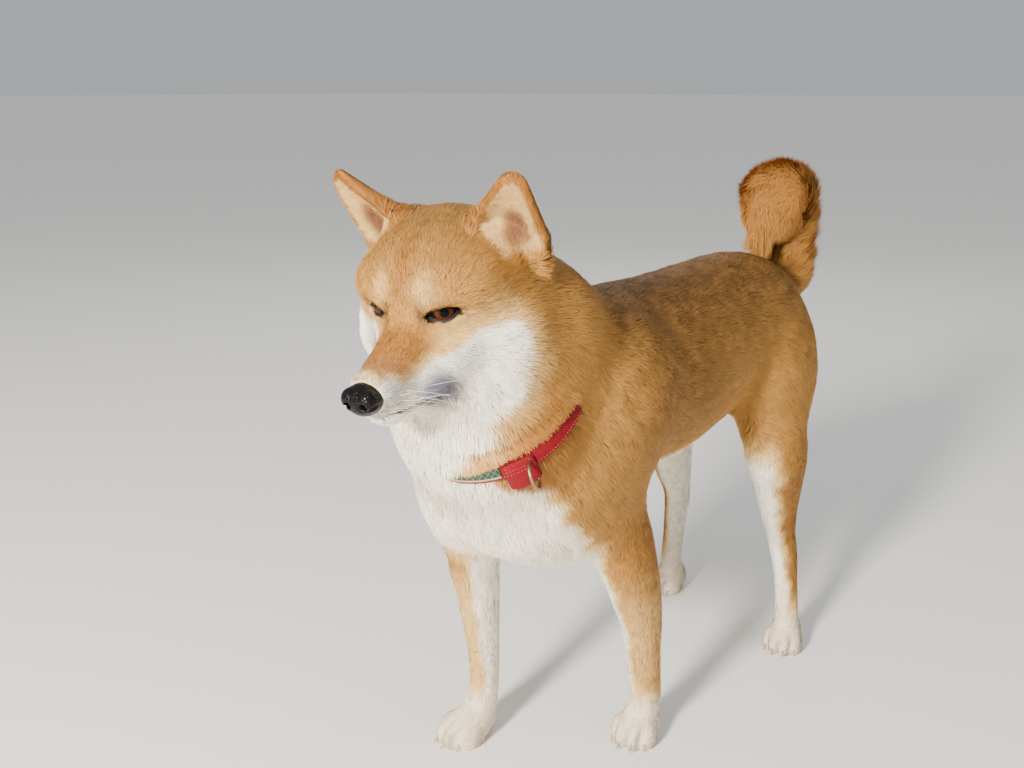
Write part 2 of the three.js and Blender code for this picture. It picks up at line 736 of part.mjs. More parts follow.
function closed(faces) {
  const shared = new Map();
  for (let i = 0; i < faces.length; i += 3) {
    for (let k = 0; k < 3; k++) {
      const ends = [faces[i + k], faces[i + ((k + 1) % 3)]].sort((a, b) => a - b);
      const key = ends.join(' ');
      shared.set(key, (shared.get(key) ?? 0) + 1);
    }
  }
  return [...shared.values()].every((count) => count === 2);
}

function add(name, rough, color, roughness, metalness = 0) {
  const shape = weld(rough);
  const mesh = shape.getMesh();
  const geometry = new THREE.BufferGeometry();
  geometry.setAttribute('position', new THREE.BufferAttribute(mesh.vertProperties, 3));
  geometry.setIndex(new THREE.BufferAttribute(mesh.triVerts, 1));
  geometry.computeVertexNormals();
  const part = new THREE.Mesh(geometry, new THREE.MeshStandardMaterial({ color, roughness, metalness }));
  part.name = name;
  group.add(part);
}

const COAT = { red: 0xc08a55, cream: 0xe6dcc8, white: 0xf0ece4 };
const COLOUR = { band: 0xa3182b, ribbon: 0x24382f, ring: 0x8a7a5c, nose: 0x17161a, eye: 0x3a2113 };

// Low and high corner of the block each part is meshed in.
const REACH = {
  torso: [[-125, -300, 160], [125, 262, 430]],
  neck: [[-120, -330, 220], [110, -80, 470]],
  head: [[-126, -420, 300], [90, -170, 530]],
  tail: [[-60, 130, 330], [80, 300, 520]],
};

add('torso', trim(contour(whole, ...REACH.torso, CELL.torso), underline, opposite(shoulderLine), tailRoot),
  COAT.red, 0.9);

// Edges and faces of the collar's strips, as heights across the band and off the fur.
const half = COLLAR.width / 2;
const face = COLLAR.proud;
const back = face - COLLAR.thickness;
const allRound = [0, 2 * Math.PI];
const seatEdges = [-half - GAP, half + GAP];
const band = strip(...allRound, -half, half, back, face, COLLAR.steps);
const groove = strip(...allRound, ...seatEdges, back - GAP, CLEAR, COLLAR.steps);
const bandSeat = strip(...allRound, ...seatEdges, back - 1, face + GAP, COLLAR.steps);

// The room the keeper takes up, grown by the gap, between two heights off the fur.
function keeperRoom(under, over) {
  const ends = [degrees(KEEPER.from) - 0.01, degrees(KEEPER.to) + 0.01];
  return strip(...ends, KEEPER.low - GAP, KEEPER.high + GAP, under, over, KEEPER.steps);
}

const neckBlock = trim(contour(body, ...REACH.neck, CELL.neck), shoulderLine, opposite(throat));
const neck = neckBlock.subtract(groove).subtract(keeperRoom(face, CLEAR));
add('neck', largest(neck), COAT.red, 0.9);
add('collar_band', band, COLOUR.band, 0.85);

// The head's own surface, moved out by the gap: an ear ends on it.
const grownHead = contour((x, y, z) => body(x, y, z) - GAP - 0.4, ...REACH.head, CELL.head);
const sockets = [1, -1].map((side) => eyeball(side, EYE.room).add(eyeSlit(side)));
const noseSeat = contour(inHead((x, y, z) => noseSolid(x, y, z) - GAP), ...REACH.head, CELL.nose);
let skin = trim(contour(body, ...REACH.head, CELL.head), throat).add(lips());
for (const cutter of [...sockets, noseSeat, mouthLine()]) skin = skin.subtract(cutter);
add('head', largest(skin), COAT.red, 0.9);
for (const [name, side] of [['left', 1], ['right', -1]]) {
  const ear = contour(onSide(side), ...REACH.head, CELL.ear).subtract(grownHead);
  add(`ear_${name}`, largest(ear), COAT.red, 0.9);
  add(`eye_${name}`, eyeball(side), COLOUR.eye, 0.15);
}
add('nose', contour(inHead(noseField), ...REACH.head, CELL.nose), COLOUR.nose, 0.35);

// Strap end folded over the band, with the ring it holds.
const keeper = strip(
  degrees(KEEPER.from), degrees(KEEPER.to), KEEPER.low, KEEPER.high,
  face + GAP, face + KEEPER.top, KEEPER.steps);
const ribbon = strip(
  degrees(RIBBON.from), degrees(RIBBON.to), -RIBBON.width / 2, RIBBON.width / 2,
  face, face + RIBBON.thickness, RIBBON.steps);
add('collar_keeper', largest(keeper.subtract(bandSeat)), COLOUR.band, 0.85);
add('collar_ribbon', largest(ribbon.subtract(bandSeat)), COLOUR.ribbon, 0.8);
add('collar_ring', collarRing(), COLOUR.ring, 0.35, 0.9);

// A wire ring standing edge-on in the keeper, its plane square to the strap.
function collarRing() {
  const [reach, way] = girth(degrees(RING.at), -2);
  const hoop = new THREE.TorusGeometry(RING.radius, RING.wire, RING.sides, RING.steps);
  const along = new THREE.Vector3(...way).cross(new THREE.Vector3(...COLLAR.normal)).normalize();
  hoop.applyQuaternion(new THREE.Quaternion().setFromUnitVectors(new THREE.Vector3(0, 0, 1), along));
  hoop.translate(...COLLAR.centre.map(
    (value, i) => value + way[i] * (reach + RING.out) + COLLAR.normal[i] * RING.drop));
  const seat = keeperRoom(-CLEAR, face + KEEPER.top + 2 * GAP);
  return largest(solidFrom(hoop).subtract(seat).subtract(bandSeat));
}

const brushed = brush(tailCore());
add('tail_base', trim(brushed, opposite(tailRoot), tailBend), COAT.red, 0.9);
add('tail_curl', trim(brushed, opposite(tailBend)), COAT.red, 0.9);

// The tail under its brush: full size at the croup, drawn in along the rest.
function tailCore() {
  const { slope, from, over } = DRAWN_IN;
  const drawn = (y, z) => BRUSH.core * Math.min(1, Math.max(0, (z + slope * y - from) / over));
  const core = (x, y, z) => blend(body(x, y, z), tail(x, y, z) + drawn(y, z), 14);
  return contour(core, ...REACH.tail, CELL.tail);
}

// A claw on each toe, curving down from its tip.
const CLAW = { root: [0, 0.72, -2.5], bend: [0, 1.12, -4], tip: [0, 1.34, -8.2], radius: 2.3, sides: 5 };

function claws(name) {
  let all;
  for (const [x, y, z, splay] of TOES) {
    const reach = (splay ? TOE.outer : TOE.middle)[1];
    const c = Math.cos(degrees(splay));
    const s = Math.sin(degrees(splay));
    const place = ([, ahead, drop]) => new THREE.Vector3(
      ...onPaw(name, [x + (s * ahead * reach) / PAW_WIDTH, y - c * ahead * reach, z + drop]));
    const claw = hook(place(CLAW.root), place(CLAW.bend), place(CLAW.tip));
    all = all ? all.add(claw) : claw;
  }
  return all;
}

// A tapered hook with a ring of corners at its root and its bend, and a pointed tip.
function hook(root, bend, tip) {
  const lie = bend.clone().sub(root).normalize();
  const side = new THREE.Vector3().crossVectors(lie, new THREE.Vector3(0, 0, 1)).normalize();
  const up = new THREE.Vector3().crossVectors(side, lie);
  const points = [];
  for (const [middle, radius] of [[root, CLAW.radius], [bend, CLAW.radius * 0.75]]) {
    for (let k = 0; k < CLAW.sides; k++) {
      const angle = (k / CLAW.sides) * 2 * Math.PI;
      points.push(...middle.clone().addScaledVector(side, radius * Math.cos(angle))
        .addScaledVector(up, radius * 1.15 * Math.sin(angle)).toArray());
    }
  }
  points.push(...tip.toArray());
  const faces = [];
  for (let k = 0; k < CLAW.sides; k++) {
    const m = (k + 1) % CLAW.sides;
    const [a, b, c, d] = [k, m, CLAW.sides + m, CLAW.sides + k];
    faces.push(a, b, c, a, c, d, d, c, 2 * CLAW.sides);
    if (k > 0 && m > 0) faces.push(0, m, k);
  }
  return solid(points, faces);
}

const LEGS = [
  ['fore', 'right', [-112, -270, 0], [-8, -110, 300]],
  ['fore', 'left', [8, -200, 0], [112, -30, 300]],
  ['hind', 'left', [8, 20, 0], [130, 240, 300]],
  ['hind', 'right', [-130, 40, 0], [-8, 250, 300]],
];
const PAW_REACH = { across: 36, along: 50, under: -9, over: 62 };
for (const [end, side, low, high] of LEGS) {
  const name = end + side[0].toUpperCase() + side.slice(1);
  const [px, py] = PAWS[name];
  const { across, along, under, over } = PAW_REACH;
  const shank = contour(body, [low[0], low[1], 30], high, CELL.leg);
  add(`${end}_leg_${side}`, trim(shank, opposite(underline), wristLine), COAT.red, 0.9);
  const around = [[px - across, py - along, under], [px + across, py + along, over]];
  const paw = contour(body, ...around, CELL.paw).add(claws(name));
  add(`${end}_paw_${side}`, trim(paw, opposite(wristLine), ground), COAT.cream, 0.9);
}

export default group;
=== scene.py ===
import math

import bmesh
import bpy
import numpy as np
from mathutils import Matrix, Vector


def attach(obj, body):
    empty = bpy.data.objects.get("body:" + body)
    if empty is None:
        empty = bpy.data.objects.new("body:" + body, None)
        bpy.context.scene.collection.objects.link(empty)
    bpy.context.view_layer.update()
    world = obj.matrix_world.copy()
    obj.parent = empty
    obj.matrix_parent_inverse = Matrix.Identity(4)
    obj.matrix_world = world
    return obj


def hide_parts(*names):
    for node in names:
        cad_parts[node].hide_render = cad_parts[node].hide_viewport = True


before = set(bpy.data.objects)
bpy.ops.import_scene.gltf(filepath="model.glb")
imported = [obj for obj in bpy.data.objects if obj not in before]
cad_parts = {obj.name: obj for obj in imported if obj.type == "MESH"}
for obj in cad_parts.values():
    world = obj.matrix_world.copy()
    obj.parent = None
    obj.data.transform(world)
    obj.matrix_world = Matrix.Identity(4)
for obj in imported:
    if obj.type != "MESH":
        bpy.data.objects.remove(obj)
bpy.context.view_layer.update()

MM = 0.001
# From the frame in which the dog's masses are given to the shared frame, in millimetres.
SHIFT = np.array([3.08, 56.43, 0.0])
FAR = 1e3
SOLE = 0.4


# Distance fields, in millimetres: the same named masses as the solids.
def turn_matrix(angles, order):
    x, y, z = (math.radians(a) for a in angles)
    rx = np.array([[1, 0, 0], [0, math.cos(x), -math.sin(x)], [0, math.sin(x), math.cos(x)]])
    ry = np.array([[math.cos(y), 0, math.sin(y)], [0, 1, 0], [-math.sin(y), 0, math.cos(y)]])
    rz = np.array([[math.cos(z), -math.sin(z), 0], [math.sin(z), math.cos(z), 0], [0, 0, 1]])
    return rz @ ry @ rx if order == "ZYX" else rz @ rx @ ry


def length(v):
    return np.sqrt((v * v).sum(axis=1))


def unit(v):
    return v / np.maximum(length(v), 1e-9)[:, None]


def mass(centre, radii, turn=(0, 0, 0)):
    """An egg-shaped mass, turned by angles in degrees."""
    centre, radii = np.array(centre, float), np.array(radii, float)
    spin = turn_matrix(turn, "ZYX")

    def field(p):
        u = ((p - centre) @ spin) / radii
        k0 = length(u)
        k1 = np.maximum(length(u / radii), 1e-9)
        return k0 * (k0 - 1) / k1

    return field


def rod(start, end, r0, r1, stretch=(1, 1, 1)):
    """A rod with round ends, whose radius changes evenly between them."""
    stretch = np.array(stretch, float)
    a, b = np.array(start, float) / stretch, np.array(end, float) / stretch
    along = b - a
    least = stretch.min()

    def field(p):
        q = p / stretch - a
        t = np.clip(q @ along / (along @ along), 0, 1)
        d = length(q - t[:, None] * along)
        return (d - r0 - t * (r1 - r0)) * least

    return field


def cone(start, end, r0, r1, stretch=(1, 1, 1)):
    """A cone with round ends, its side running straight from one ball to the other."""
    stretch = np.array(stretch, float)
    a, b = np.array(start, float) / stretch, np.array(end, float) / stretch
    reach = math.dist(a, b)
    along = (b - a) / reach
    lean = (r0 - r1) / reach
    back = lean / math.sqrt(1 - lean * lean)

    def field(p):
        q = p / stretch - a
        s = q @ along
        off = length(q - s[:, None] * along)
        t = np.clip(s - off * back, 0, reach)
        return (np.hypot(s - t, off) - r0 + lean * t) * stretch.min()

    return field


def blend(a, b, k):
    """The nearer of two distances, rounded over k where they are alike."""
    h = np.maximum(k - np.abs(a - b), 0) / k
    return np.minimum(a, b) - h * h * k * 0.25


def melt(k, *shapes):
    """Shapes flowing into one another."""
    def field(p):
        d = shapes[0](p)
        for shape in shapes[1:]:
            d = blend(d, shape(p), k)
        return d

    return field


def hollow(k, shape, cutter):
    """A shape with the cutter taken out of it."""
    return lambda p: -blend(-shape(p), cutter(p), k)


def paired(shape):
    """A shape and its mirror image on the other side."""
    def field(p):
        q = p.copy()
        q[:, 0] = np.abs(q[:, 0])
        return shape(q)

    return field


def near(shape, low, high):
    """The shape, worked out only inside a block that holds it."""
    low, high = np.array(low, float), np.array(high, float)

    def field(p):
        out = np.full(len(p), FAR)
        inside = ((p > low) & (p < high)).all(axis=1)
        if inside.any():
            out[inside] = shape(p[inside])
        return out

    return field


# trunk and neck
ribs = mass([0, -62, 318], [80, 140, 86], [-4, 0, 0])
loin = mass([0, 62, 330], [72, 130, 77])
croup = mass([0, 138, 332], [70, 80, 72], [8, 0, 0])
forechest = mass([-12, -196, 278], [86, 66, 88], [-10, 0, 0])
right_shoulder = mass([-62, -194, 266], [34, 54, 88], [-4, 0, 0])
brisket = mass([8, -154, 228], [54, 62, 50])
left_shoulder = mass([54, -146, 304], [30, 46, 80], [-12, 0, 0])
neck_trunk = rod([0, -150, 326], [-14, -240, 378], 76, 68, [0.98, 1, 1])
ruff = mass([-16, -242, 322], [81, 47, 64], [-24, 0, 0])
nape = mass([2, -206, 394], [60, 50, 52], [-20, 0, 0])
trunk = melt(
    34, ribs, loin, croup, forechest, right_shoulder, left_shoulder, neck_trunk, ruff, nape, brisket)

PAWS = {"fore_right": (-58, -209), "fore_left": (59, -110), "hind_left": (84, 130), "hind_right": (-84, 171)}
PAW_TURN = {"fore_right": -14, "fore_left": 10, "hind_left": 12, "hind_right": -8}
PAW_SCALE = {"fore_right": 1.0, "fore_left": 1.0, "hind_left": 0.96, "hind_right": 0.95}
PAW_WIDTH = 0.88

# Each leg from the floor up: height, middle across and along, half width across and along.
LEGS = {
    "fore_left": [
        (14, 59, -101, 13.5, 17), (40, 60, -101, 13.6, 16), (58, 60.5, -103, 13.8, 15.4),
        (87, 59.6, -106, 15, 17.4), (117, 58.6, -110, 17.6, 21.6), (149, 57.5, -120, 20.8, 27),
        (185, 54, -131, 23, 33), (250, 44, -142, 22, 36)],
    "fore_right": [
        (14, -57, -198, 13.5, 17), (34, -56, -192, 13.4, 15.8), (52, -56.4, -188, 12.7, 14.2),
        (80, -57.4, -187.6, 13.4, 15.4), (110, -58.2, -190, 15.4, 18.4), (140, -58.8, -193, 17.6, 21.6),
        (170, -59, -196.5, 20.5, 26), (250, -52, -190, 24, 35)],
    "hind_left": [
        (14, 83.5, 136, 12, 14), (43, 82.5, 134, 11.4, 13), (70, 79, 135.5, 11.4, 13),
        (95, 75, 137, 12.2, 16.2),
        (110, 72, 137, 13, 18), (126, 70.5, 133, 13.6, 19.5), (153, 72, 123, 16.5, 26),
        (181, 74, 115, 20, 34), (207, 74, 109, 24, 41), (236, 66, 114, 27, 47), (290, 52, 132, 25, 50)],
    "hind_right": [
        (14, -83, 178, 12, 14), (40, -83.4, 174.5, 11.4, 13), (68, -82.6, 176.5, 11.6, 13),
        (95, -82, 178.5, 12.2, 16.2),
        (110, -81, 178.5, 13, 18), (126, -80, 174.5, 13.6, 19.5), (150, -79, 165, 16.5, 26),
        (181, -76, 152, 20, 34), (207, -72, 142, 24, 41), (236, -65, 141, 27, 47), (290, -52, 154, 25, 50)],
}


def between(rows, z):
    """Smooth values between the rows of a table, by their first column."""
    rows = np.array(rows, float)
    n = np.clip(np.searchsorted(rows[:, 0], z) - 1, 0, len(rows) - 2)
    low, high = rows[n], rows[n + 1]
    before, after = rows[np.maximum(n - 1, 0)], rows[np.minimum(n + 2, len(rows) - 1)]
    span = (high - low)[:, :1]
    t = np.clip((z[:, None] - low[:, :1]) / span, 0, 1)
    into = (high - before) / (high - before)[:, :1] * span
    out = (after - low) / (after - low)[:, :1] * span
    t2, t3 = t * t, t * t * t
    curve = low * (2 * t3 - 3 * t2 + 1) + high * (3 * t2 - 2 * t3)
    curve = curve + into * (t3 - 2 * t2 + t) + out * (t3 - t2)
    return curve[:, 1:].T


LIMB_ROUNDING = 50


def limb(rows):
    """An upright leg of smoothly changing oval section."""
    top, foot = rows[-1][0], rows[0][0]

    def field(p):
        x, y, across, along = between(rows, p[:, 2])
        u, v = (p[:, 0] - x) / across, (p[:, 1] - y) / along
        k0 = np.hypot(u, v)
        side = k0 * (k0 - 1) / np.maximum(np.hypot(u / across, v / along), 1e-6)
        rounded = -blend(-np.maximum(side, -across), top - p[:, 2], LIMB_ROUNDING)
        return np.maximum(rounded, foot - p[:, 2])

    return field


# Each toe: across, along and up from the middle of the paw, and how far it is splayed.
TOES = [(-6.6, -14, 10.5, 0), (6.6, -14, 10.5, 0), (-16, -6, 9.5, -6), (16, -6, 9.5, 6)]


def footprint(name):
    """A paw with its four toes."""
    paw, turn, scale = PAWS[name], PAW_TURN[name], PAW_SCALE[name]
    c, s = math.cos(math.radians(turn)), math.sin(math.radians(turn))

    def pad(at, radii, splay=0):
        across, along = scale * at[0] * PAW_WIDTH, scale * at[1]
        centre = [paw[0] + c * across - s * along, paw[1] + s * across + c * along, at[2] * scale]
        radii = [radii[0] * scale * PAW_WIDTH, radii[1] * scale, radii[2] * scale]
        return mass(centre, radii, [0, 0, turn + splay])

    toes = [pad((x, y, z), (7.8, 14, 12) if splay else (8.4, 15, 13), splay) for x, y, z, splay in TOES]
    return melt(6, pad((0, 4, 15), (18, 22, 18)), *toes)


def leg(name, *thigh):
    """A leg with its paw and, behind, the thigh above it."""
    low = [PAWS[name][0] - 60, PAWS[name][1] - 110, -45]
    high = [PAWS[name][0] + 60, PAWS[name][1] + 110, 400]
    return near(melt(10, *thigh, melt(6, limb(LEGS[name]), footprint(name))), low, high)


left_fore = leg("fore_left")
right_fore = leg("fore_right")
left_hind = leg("hind_left", mass([54, 134, 284], [34, 62, 74], [-12, 0, 0]))
right_hind = leg("hind_right", mass([-54, 156, 284], [34, 62, 74], [-12, 0, 0]))

TAIL_LINE = np.array(
    [(4, 198, 358), (8, 229, 380), (8, 230, 398), (6, 226, 440), (8, 208, 456), (12, 184, 442)], float)
TAIL_ROUND = [(24, 29.5), (29.5, 27), (27, 35), (35, 38), (38, 30)]
tail = near(
    melt(14, *[rod(TAIL_LINE[n], TAIL_LINE[n + 1], *ends) for n, ends in enumerate(TAIL_ROUND)]),
    [-90, 110, 280], [110, 320, 560])

# Head, in its own frame: origin midway between the eyes, -Y forward, +Z up.
HEAD_CENTRE = np.array([-19.0, -304.0, 413.0])
HEAD_TURN = turn_matrix((11.5, -1.6, 8.8), "ZXY")
skull = melt(
    16,
    mass([0, 51, 7], [63, 62, 55]),
    mass([0, 26, 6], [45, 39, 42]),
    paired(mass([44, 46, -32], [37, 42, 46])),
    paired(mass([27, 8, 14], [18, 14, 13])),
    paired(mass([40, 22, 13], [19, 20, 20])),
    paired(mass([40, 60, 38], [19, 18, 22])),
)
muzzle = melt(
    10,
    rod([0, -6, -26], [0, -59, -36], 24.5, 16, [1.08, 1, 0.95]),
    rod([0, 4, -50], [0, -50, -53], 26, 14.5, [1.2, 1, 0.9]),
    paired(mass([18, 3, -40], [22, 36, 22])),
)
EYE = {
    "centre": np.array([24.0, 2.6, 2.0]), "radius": 11.5, "reach": 26,
    "turn": 35, "slant": 6, "slit": (24.0, 9.4)}
GAZE = {"out": 38, "up": 6}
lid_mass = paired(mass([24, 2.6, 0.5], [13.1, 13.1, 12]))
face_field = melt(14, skull, muzzle)
EAR_TURN = 20


def turned(shape, angle, pivot):
    """The shape, turned about an upright line through the pivot."""
    spin, pivot = turn_matrix((0, 0, angle), "ZYX"), np.array(pivot, float)
    return lambda p: shape((p - pivot) @ spin + pivot)


EAR_FOOT = [49.5, 53, 26]
ear_solid = paired(turned(cone(EAR_FOOT, [66, 28, 80], 37, 13, [1, 0.42, 1]), EAR_TURN, EAR_FOOT))
ear_cup = paired(turned(cone([50.5, 38, 30], [65.5, 20.5, 77.5], 30, 9.5, [1, 0.5, 1]), EAR_TURN, EAR_FOOT))
ears = hollow(3, ear_solid, ear_cup)
MOUTH = np.array([(-92, -46), (-44, -60), (-6, -52)], float)


def to_head(p):
    return (p - HEAD_CENTRE) @ HEAD_TURN


def from_head(p):
    return np.asarray(p, float) @ HEAD_TURN.T + HEAD_CENTRE


def head_shape(p):
    q = to_head(p)
    return blend(face_field(q), lid_mass(q), 5)


def ear_shape(p):
    return ears(to_head(p))


HEAD_LOW, HEAD_HIGH = np.array([-160.0, -450.0, 270.0]), np.array([125.0, -120.0, 570.0])
head = near(head_shape, HEAD_LOW, HEAD_HIGH)
both_ears = near(ear_shape, HEAD_LOW + 30, HEAD_HIGH)
body = melt(18, trunk, right_fore, left_fore, left_hind, right_hind, head)
with_tail = melt(14, body, tail)
whole = melt(5, with_tail, both_ears)


def standing(p):
    """The whole dog, cut flat where it stands on the floor."""
    return np.maximum(whole(p), SOLE - p[:, 2])


def slope(field, p, value):
    """Which way, and how steeply, the field rises."""
    hop = 0.05
    return np.stack([(field(p + step) - value) / hop for step in np.eye(3) * hop], axis=1)


def settle(field, p, level=0.0, rounds=3, stride=5.0):
    """Moves points along the slope of the field onto one of its level surfaces."""
    p = p.copy()
    for _ in range(rounds):
        value = field(p)
        g = slope(field, p, value)
        step = -g * ((value - level) / np.maximum((g * g).sum(axis=1), 0.05))[:, None]
        size = np.maximum(length(step), 1e-9)
        p += step * np.minimum(1, stride / size)[:, None]
    return p


def contour(field, low, high, cell):
    """Surface nets: one corner in each cell that the surface crosses, joined by four-sided faces."""
    axes = [np.arange(low[i] - cell, high[i] + 2 * cell, cell) for i in range(3)]
    shape = tuple(len(a) for a in axes)
    coarse = [a[::4] for a in axes]
    grid = np.stack(np.meshgrid(*coarse, indexing="ij"), -1).reshape(-1, 3)
    rough = field(grid).reshape([len(a) for a in coarse])
    pick = [np.minimum((np.arange(n) + 2) // 4, len(c) - 1) for n, c in zip(shape, coarse)]
    values = rough[np.ix_(*pick)].copy()
    close = np.nonzero(np.abs(values) < 8.5 * cell)
    points = np.stack([axes[i][close[i]] for i in range(3)], axis=1)
    for first in range(0, len(points), 400000):
        part = slice(first, first + 400000)
        values[close[0][part], close[1][part], close[2][part]] = field(points[part])
    inside = values < 0
    cube = [(a & 1, (a >> 1) & 1, a >> 2) for a in range(8)]
    view = lambda grid, c: grid[c[0]:shape[0] - 1 + c[0], c[1]:shape[1] - 1 + c[1], c[2]:shape[2] - 1 + c[2]]
    count = sum(view(inside, c).astype(np.int8) for c in cube)
    at = np.nonzero((count > 0) & (count < 8))
    total, crossings = np.zeros((len(at[0]), 3)), np.zeros(len(at[0]))
    for a in cube:
        for axis in range(3):
            if a[axis]:
                continue
            b = tuple(v + (i == axis) for i, v in enumerate(a))
            va = values[at[0] + a[0], at[1] + a[1], at[2] + a[2]]
            vb = values[at[0] + b[0], at[1] + b[1], at[2] + b[2]]
            cross = (va < 0) != (vb < 0)
            t = np.where(cross, va / np.where(cross, va - vb, 1), 0)
            total += cross[:, None] * np.array(a, float)
            total[:, axis] += cross * t
            crossings += cross
    start = np.array([a[0] for a in axes])
    corners = start + (np.stack(at, axis=1) + total / crossings[:, None]) * cell
    owner = np.full([n - 1 for n in shape], -1, np.int64)
    owner[at] = np.arange(len(corners))
    faces = []
    for axis in range(3):
        other = [i for i in range(3) if i != axis]
        lower = [slice(1, n - 1) for n in shape]
        upper = list(lower)
        lower[axis], upper[axis] = slice(0, shape[axis] - 1), slice(1, shape[axis])
        first, second = inside[tuple(lower)], inside[tuple(upper)]
        spot = np.array(np.nonzero(first != second))
        spot[other] += 1
        outward = first[np.nonzero(first != second)]
        u, v = other if axis != 1 else other[::-1]
        ring = []
        for du, dv in [(1, 1), (0, 1), (0, 0), (1, 0)]:
            index = spot.copy()
            index[u] -= du
            index[v] -= dv
            ring.append(owner[tuple(index)])
        ring = np.stack(ring, axis=1)
        ring[~outward] = ring[~outward][:, ::-1]
        faces.append(ring)
    faces = np.concatenate(faces)
    return corners, faces[(faces >= 0).all(axis=1)]


# The kinds of coat: depth of the skin, length and width of a hair, and hairs in a square millimetre.
KINDS = {
    "muzzle": (0.9, 4.5, 0.55, 2.2),
    "face": (1.1, 5.0, 0.55, 2.2),
    "brow": (1.8, 6.5, 0.6, 1.9),
    "head": (2.8, 9.0, 0.75, 1.4),
    "cheek": (4.2, 12.0, 0.85, 1.15),
    "ruff": (7.0, 19.0, 1.1, 0.85),
    "chest": (6.5, 18.0, 1.1, 0.8),
    "trunk": (4.6, 13.0, 1.05, 0.72),
    "belly": (4.5, 14.0, 1.1, 0.6),
    "breech": (6.0, 17.0, 1.1, 0.85),
    "leg": (1.6, 8.0, 0.8, 1.0),
    "paw": (0.8, 4.0, 0.6, 1.5),
    "ear": (0.7, 4.5, 0.5, 2.0),
    "brush": (13.0, 27.0, 1.0, 2.2),
}
# Where each kind lies: centre, reach, lie of the hair, kind. Rows of the head are in the head's frame.
HEAD_COAT = [
    ((0, -62, -24), 14, (0, 1, 0.15), "face"),
    ((0, -35, -12), 16, (0, 1, 0.35), "face"),
    ((0, -8, 6), 14, (0, 0.6, 1), "face"),
    ((0, 14, 42), 20, (0, 0.7, 0.9), "brow"),
    ((0, 50, 63), 24, (0, 1, 0.05), "head"),
    ((12, -62, -40), 10, (0.2, 1, -0.1), "muzzle"),
    ((22, -35, -45), 14, (0.25, 1, -0.15), "muzzle"),
    ((0, -45, -66), 12, (0, 1, -0.25), "muzzle"),
    ((0, -10, -74), 20, (0, 1, -0.3), "cheek"),
    ((34, -8, -18), 12, (0.7, 0.8, -0.25), "face"),
    ((24, -8, 24), 12, (0.45, 0.5, 0.9), "brow"),
    ((52, 20, 18), 16, (0.35, 1, 0.1), "head"),
    ((62, 22, -20), 20, (0.2, 1, -0.25), "cheek"),
    ((50, 15, -60), 20, (0.15, 0.8, -0.6), "cheek"),
    ((75, 60, -30), 24, (0, 0.9, -0.5), "ruff"),
    ((68, 48, 45), 15, (0.35, -0.24, 0.9), "ear"),
    ((74, 40, 72), 16, (0.35, -0.24, 0.9), "ear"),
    ((0, 95, 20), 30, (0, 0.8, -0.6), "ruff"),
]
BODY_COAT = [
    ((-16, -285, 325), 35, (0, 0.25, -1), "ruff"),
    ((70, -235, 360), 35, (0, 0.7, -0.7), "ruff"),
    ((-85, -230, 360), 35, (0, 0.7, -0.7), "ruff"),
    ((-14, -262, 285), 35, (0, 0.1, -1), "chest"),
    ((0, -215, 220), 30, (0, 0.6, -0.8), "chest"),
    ((82, -150, 310), 45, (0, 0.7, -0.7), "trunk"),
    ((-82, -170, 310), 45, (0, 0.7, -0.7), "trunk"),
    ((0, -130, 415), 45, (0, 1, -0.15), "trunk"),
    ((0, -20, 405), 50, (0, 1, -0.05), "trunk"),
    ((0, 70, 405), 50, (0, 1, -0.05), "trunk"),
    ((82, -40, 310), 45, (0, 0.95, -0.4), "trunk"),
    ((-82, -40, 310), 45, (0, 0.95, -0.4), "trunk"),
    ((75, 60, 310), 45, (0, 0.95, -0.4), "trunk"),
    ((-75, 60, 310), 45, (0, 0.95, -0.4), "trunk"),
    ((0, -80, 232), 30, (0, 1, 0.05), "belly"),
    ((0, 30, 245), 30, (0, 1, 0.1), "belly"),
    ((0, 100, 262), 30, (0, 1, 0.1), "belly"),
    ((0, 150, 402), 35, (0, 1, -0.2), "trunk"),
    ((30, 212, 340), 30, (0.1, 0.25, -1), "breech"),
    ((-30, 212, 340), 30, (-0.1, 0.25, -1), "breech"),
    ((84, 135, 300), 40, (0, 0.55, -0.85), "trunk"),
    ((-84, 150, 300), 40, (0, 0.55, -0.85), "trunk"),
    ((58, 175, 250), 26, (0, 0.3, -1), "breech"),
    ((-58, 195, 250), 26, (0, 0.3, -1), "breech"),
    ((55, -150, 200), 25, (0, 0.15, -1), "leg"),
    ((-56, -200, 190), 25, (0, 0.15, -1), "leg"),
    ((57, -125, 120), 25, (0, 0, -1), "leg"),
    ((-57, -192, 120), 25, (0, 0, -1), "leg"),
    ((60, -106, 50), 20, (0, 0, -1), "leg"),
    ((-57, -188, 50), 20, (0, 0, -1), "leg"),
    ((70, 112, 200), 28, (0, 0.25, -1), "leg"),
    ((-70, 138, 200), 28, (0, 0.25, -1), "leg"),
    ((75, 128, 130), 20, (0, 0, -1), "leg"),
    ((-84, 174, 130), 20, (0, 0, -1), "leg"),
    ((82, 132, 60), 20, (0, 0, -1), "leg"),
    ((-85, 172, 60), 20, (0, 0, -1), "leg"),
    *[((x, y - 10, 14), 16, (0, -0.8, -0.5), "paw") for x, y in PAWS.values()],
    ((6, 216, 368), 20, (0, 0.4, 0.9), "brush"),
    ((8, 232, 392), 20, (0, 0.1, 1), "brush"),
    ((6, 240, 430), 22, (0, 0.1, 1), "brush"),
    ((8, 232, 475), 22, (0, -0.6, 0.8), "brush"),
    ((8, 205, 490), 22, (0, -1, 0.1), "brush"),
    ((10, 175, 475), 22, (0, -0.8, -0.6), "brush"),
    ((12, 160, 440), 20, (0, -0.3, -1), "brush"),
]


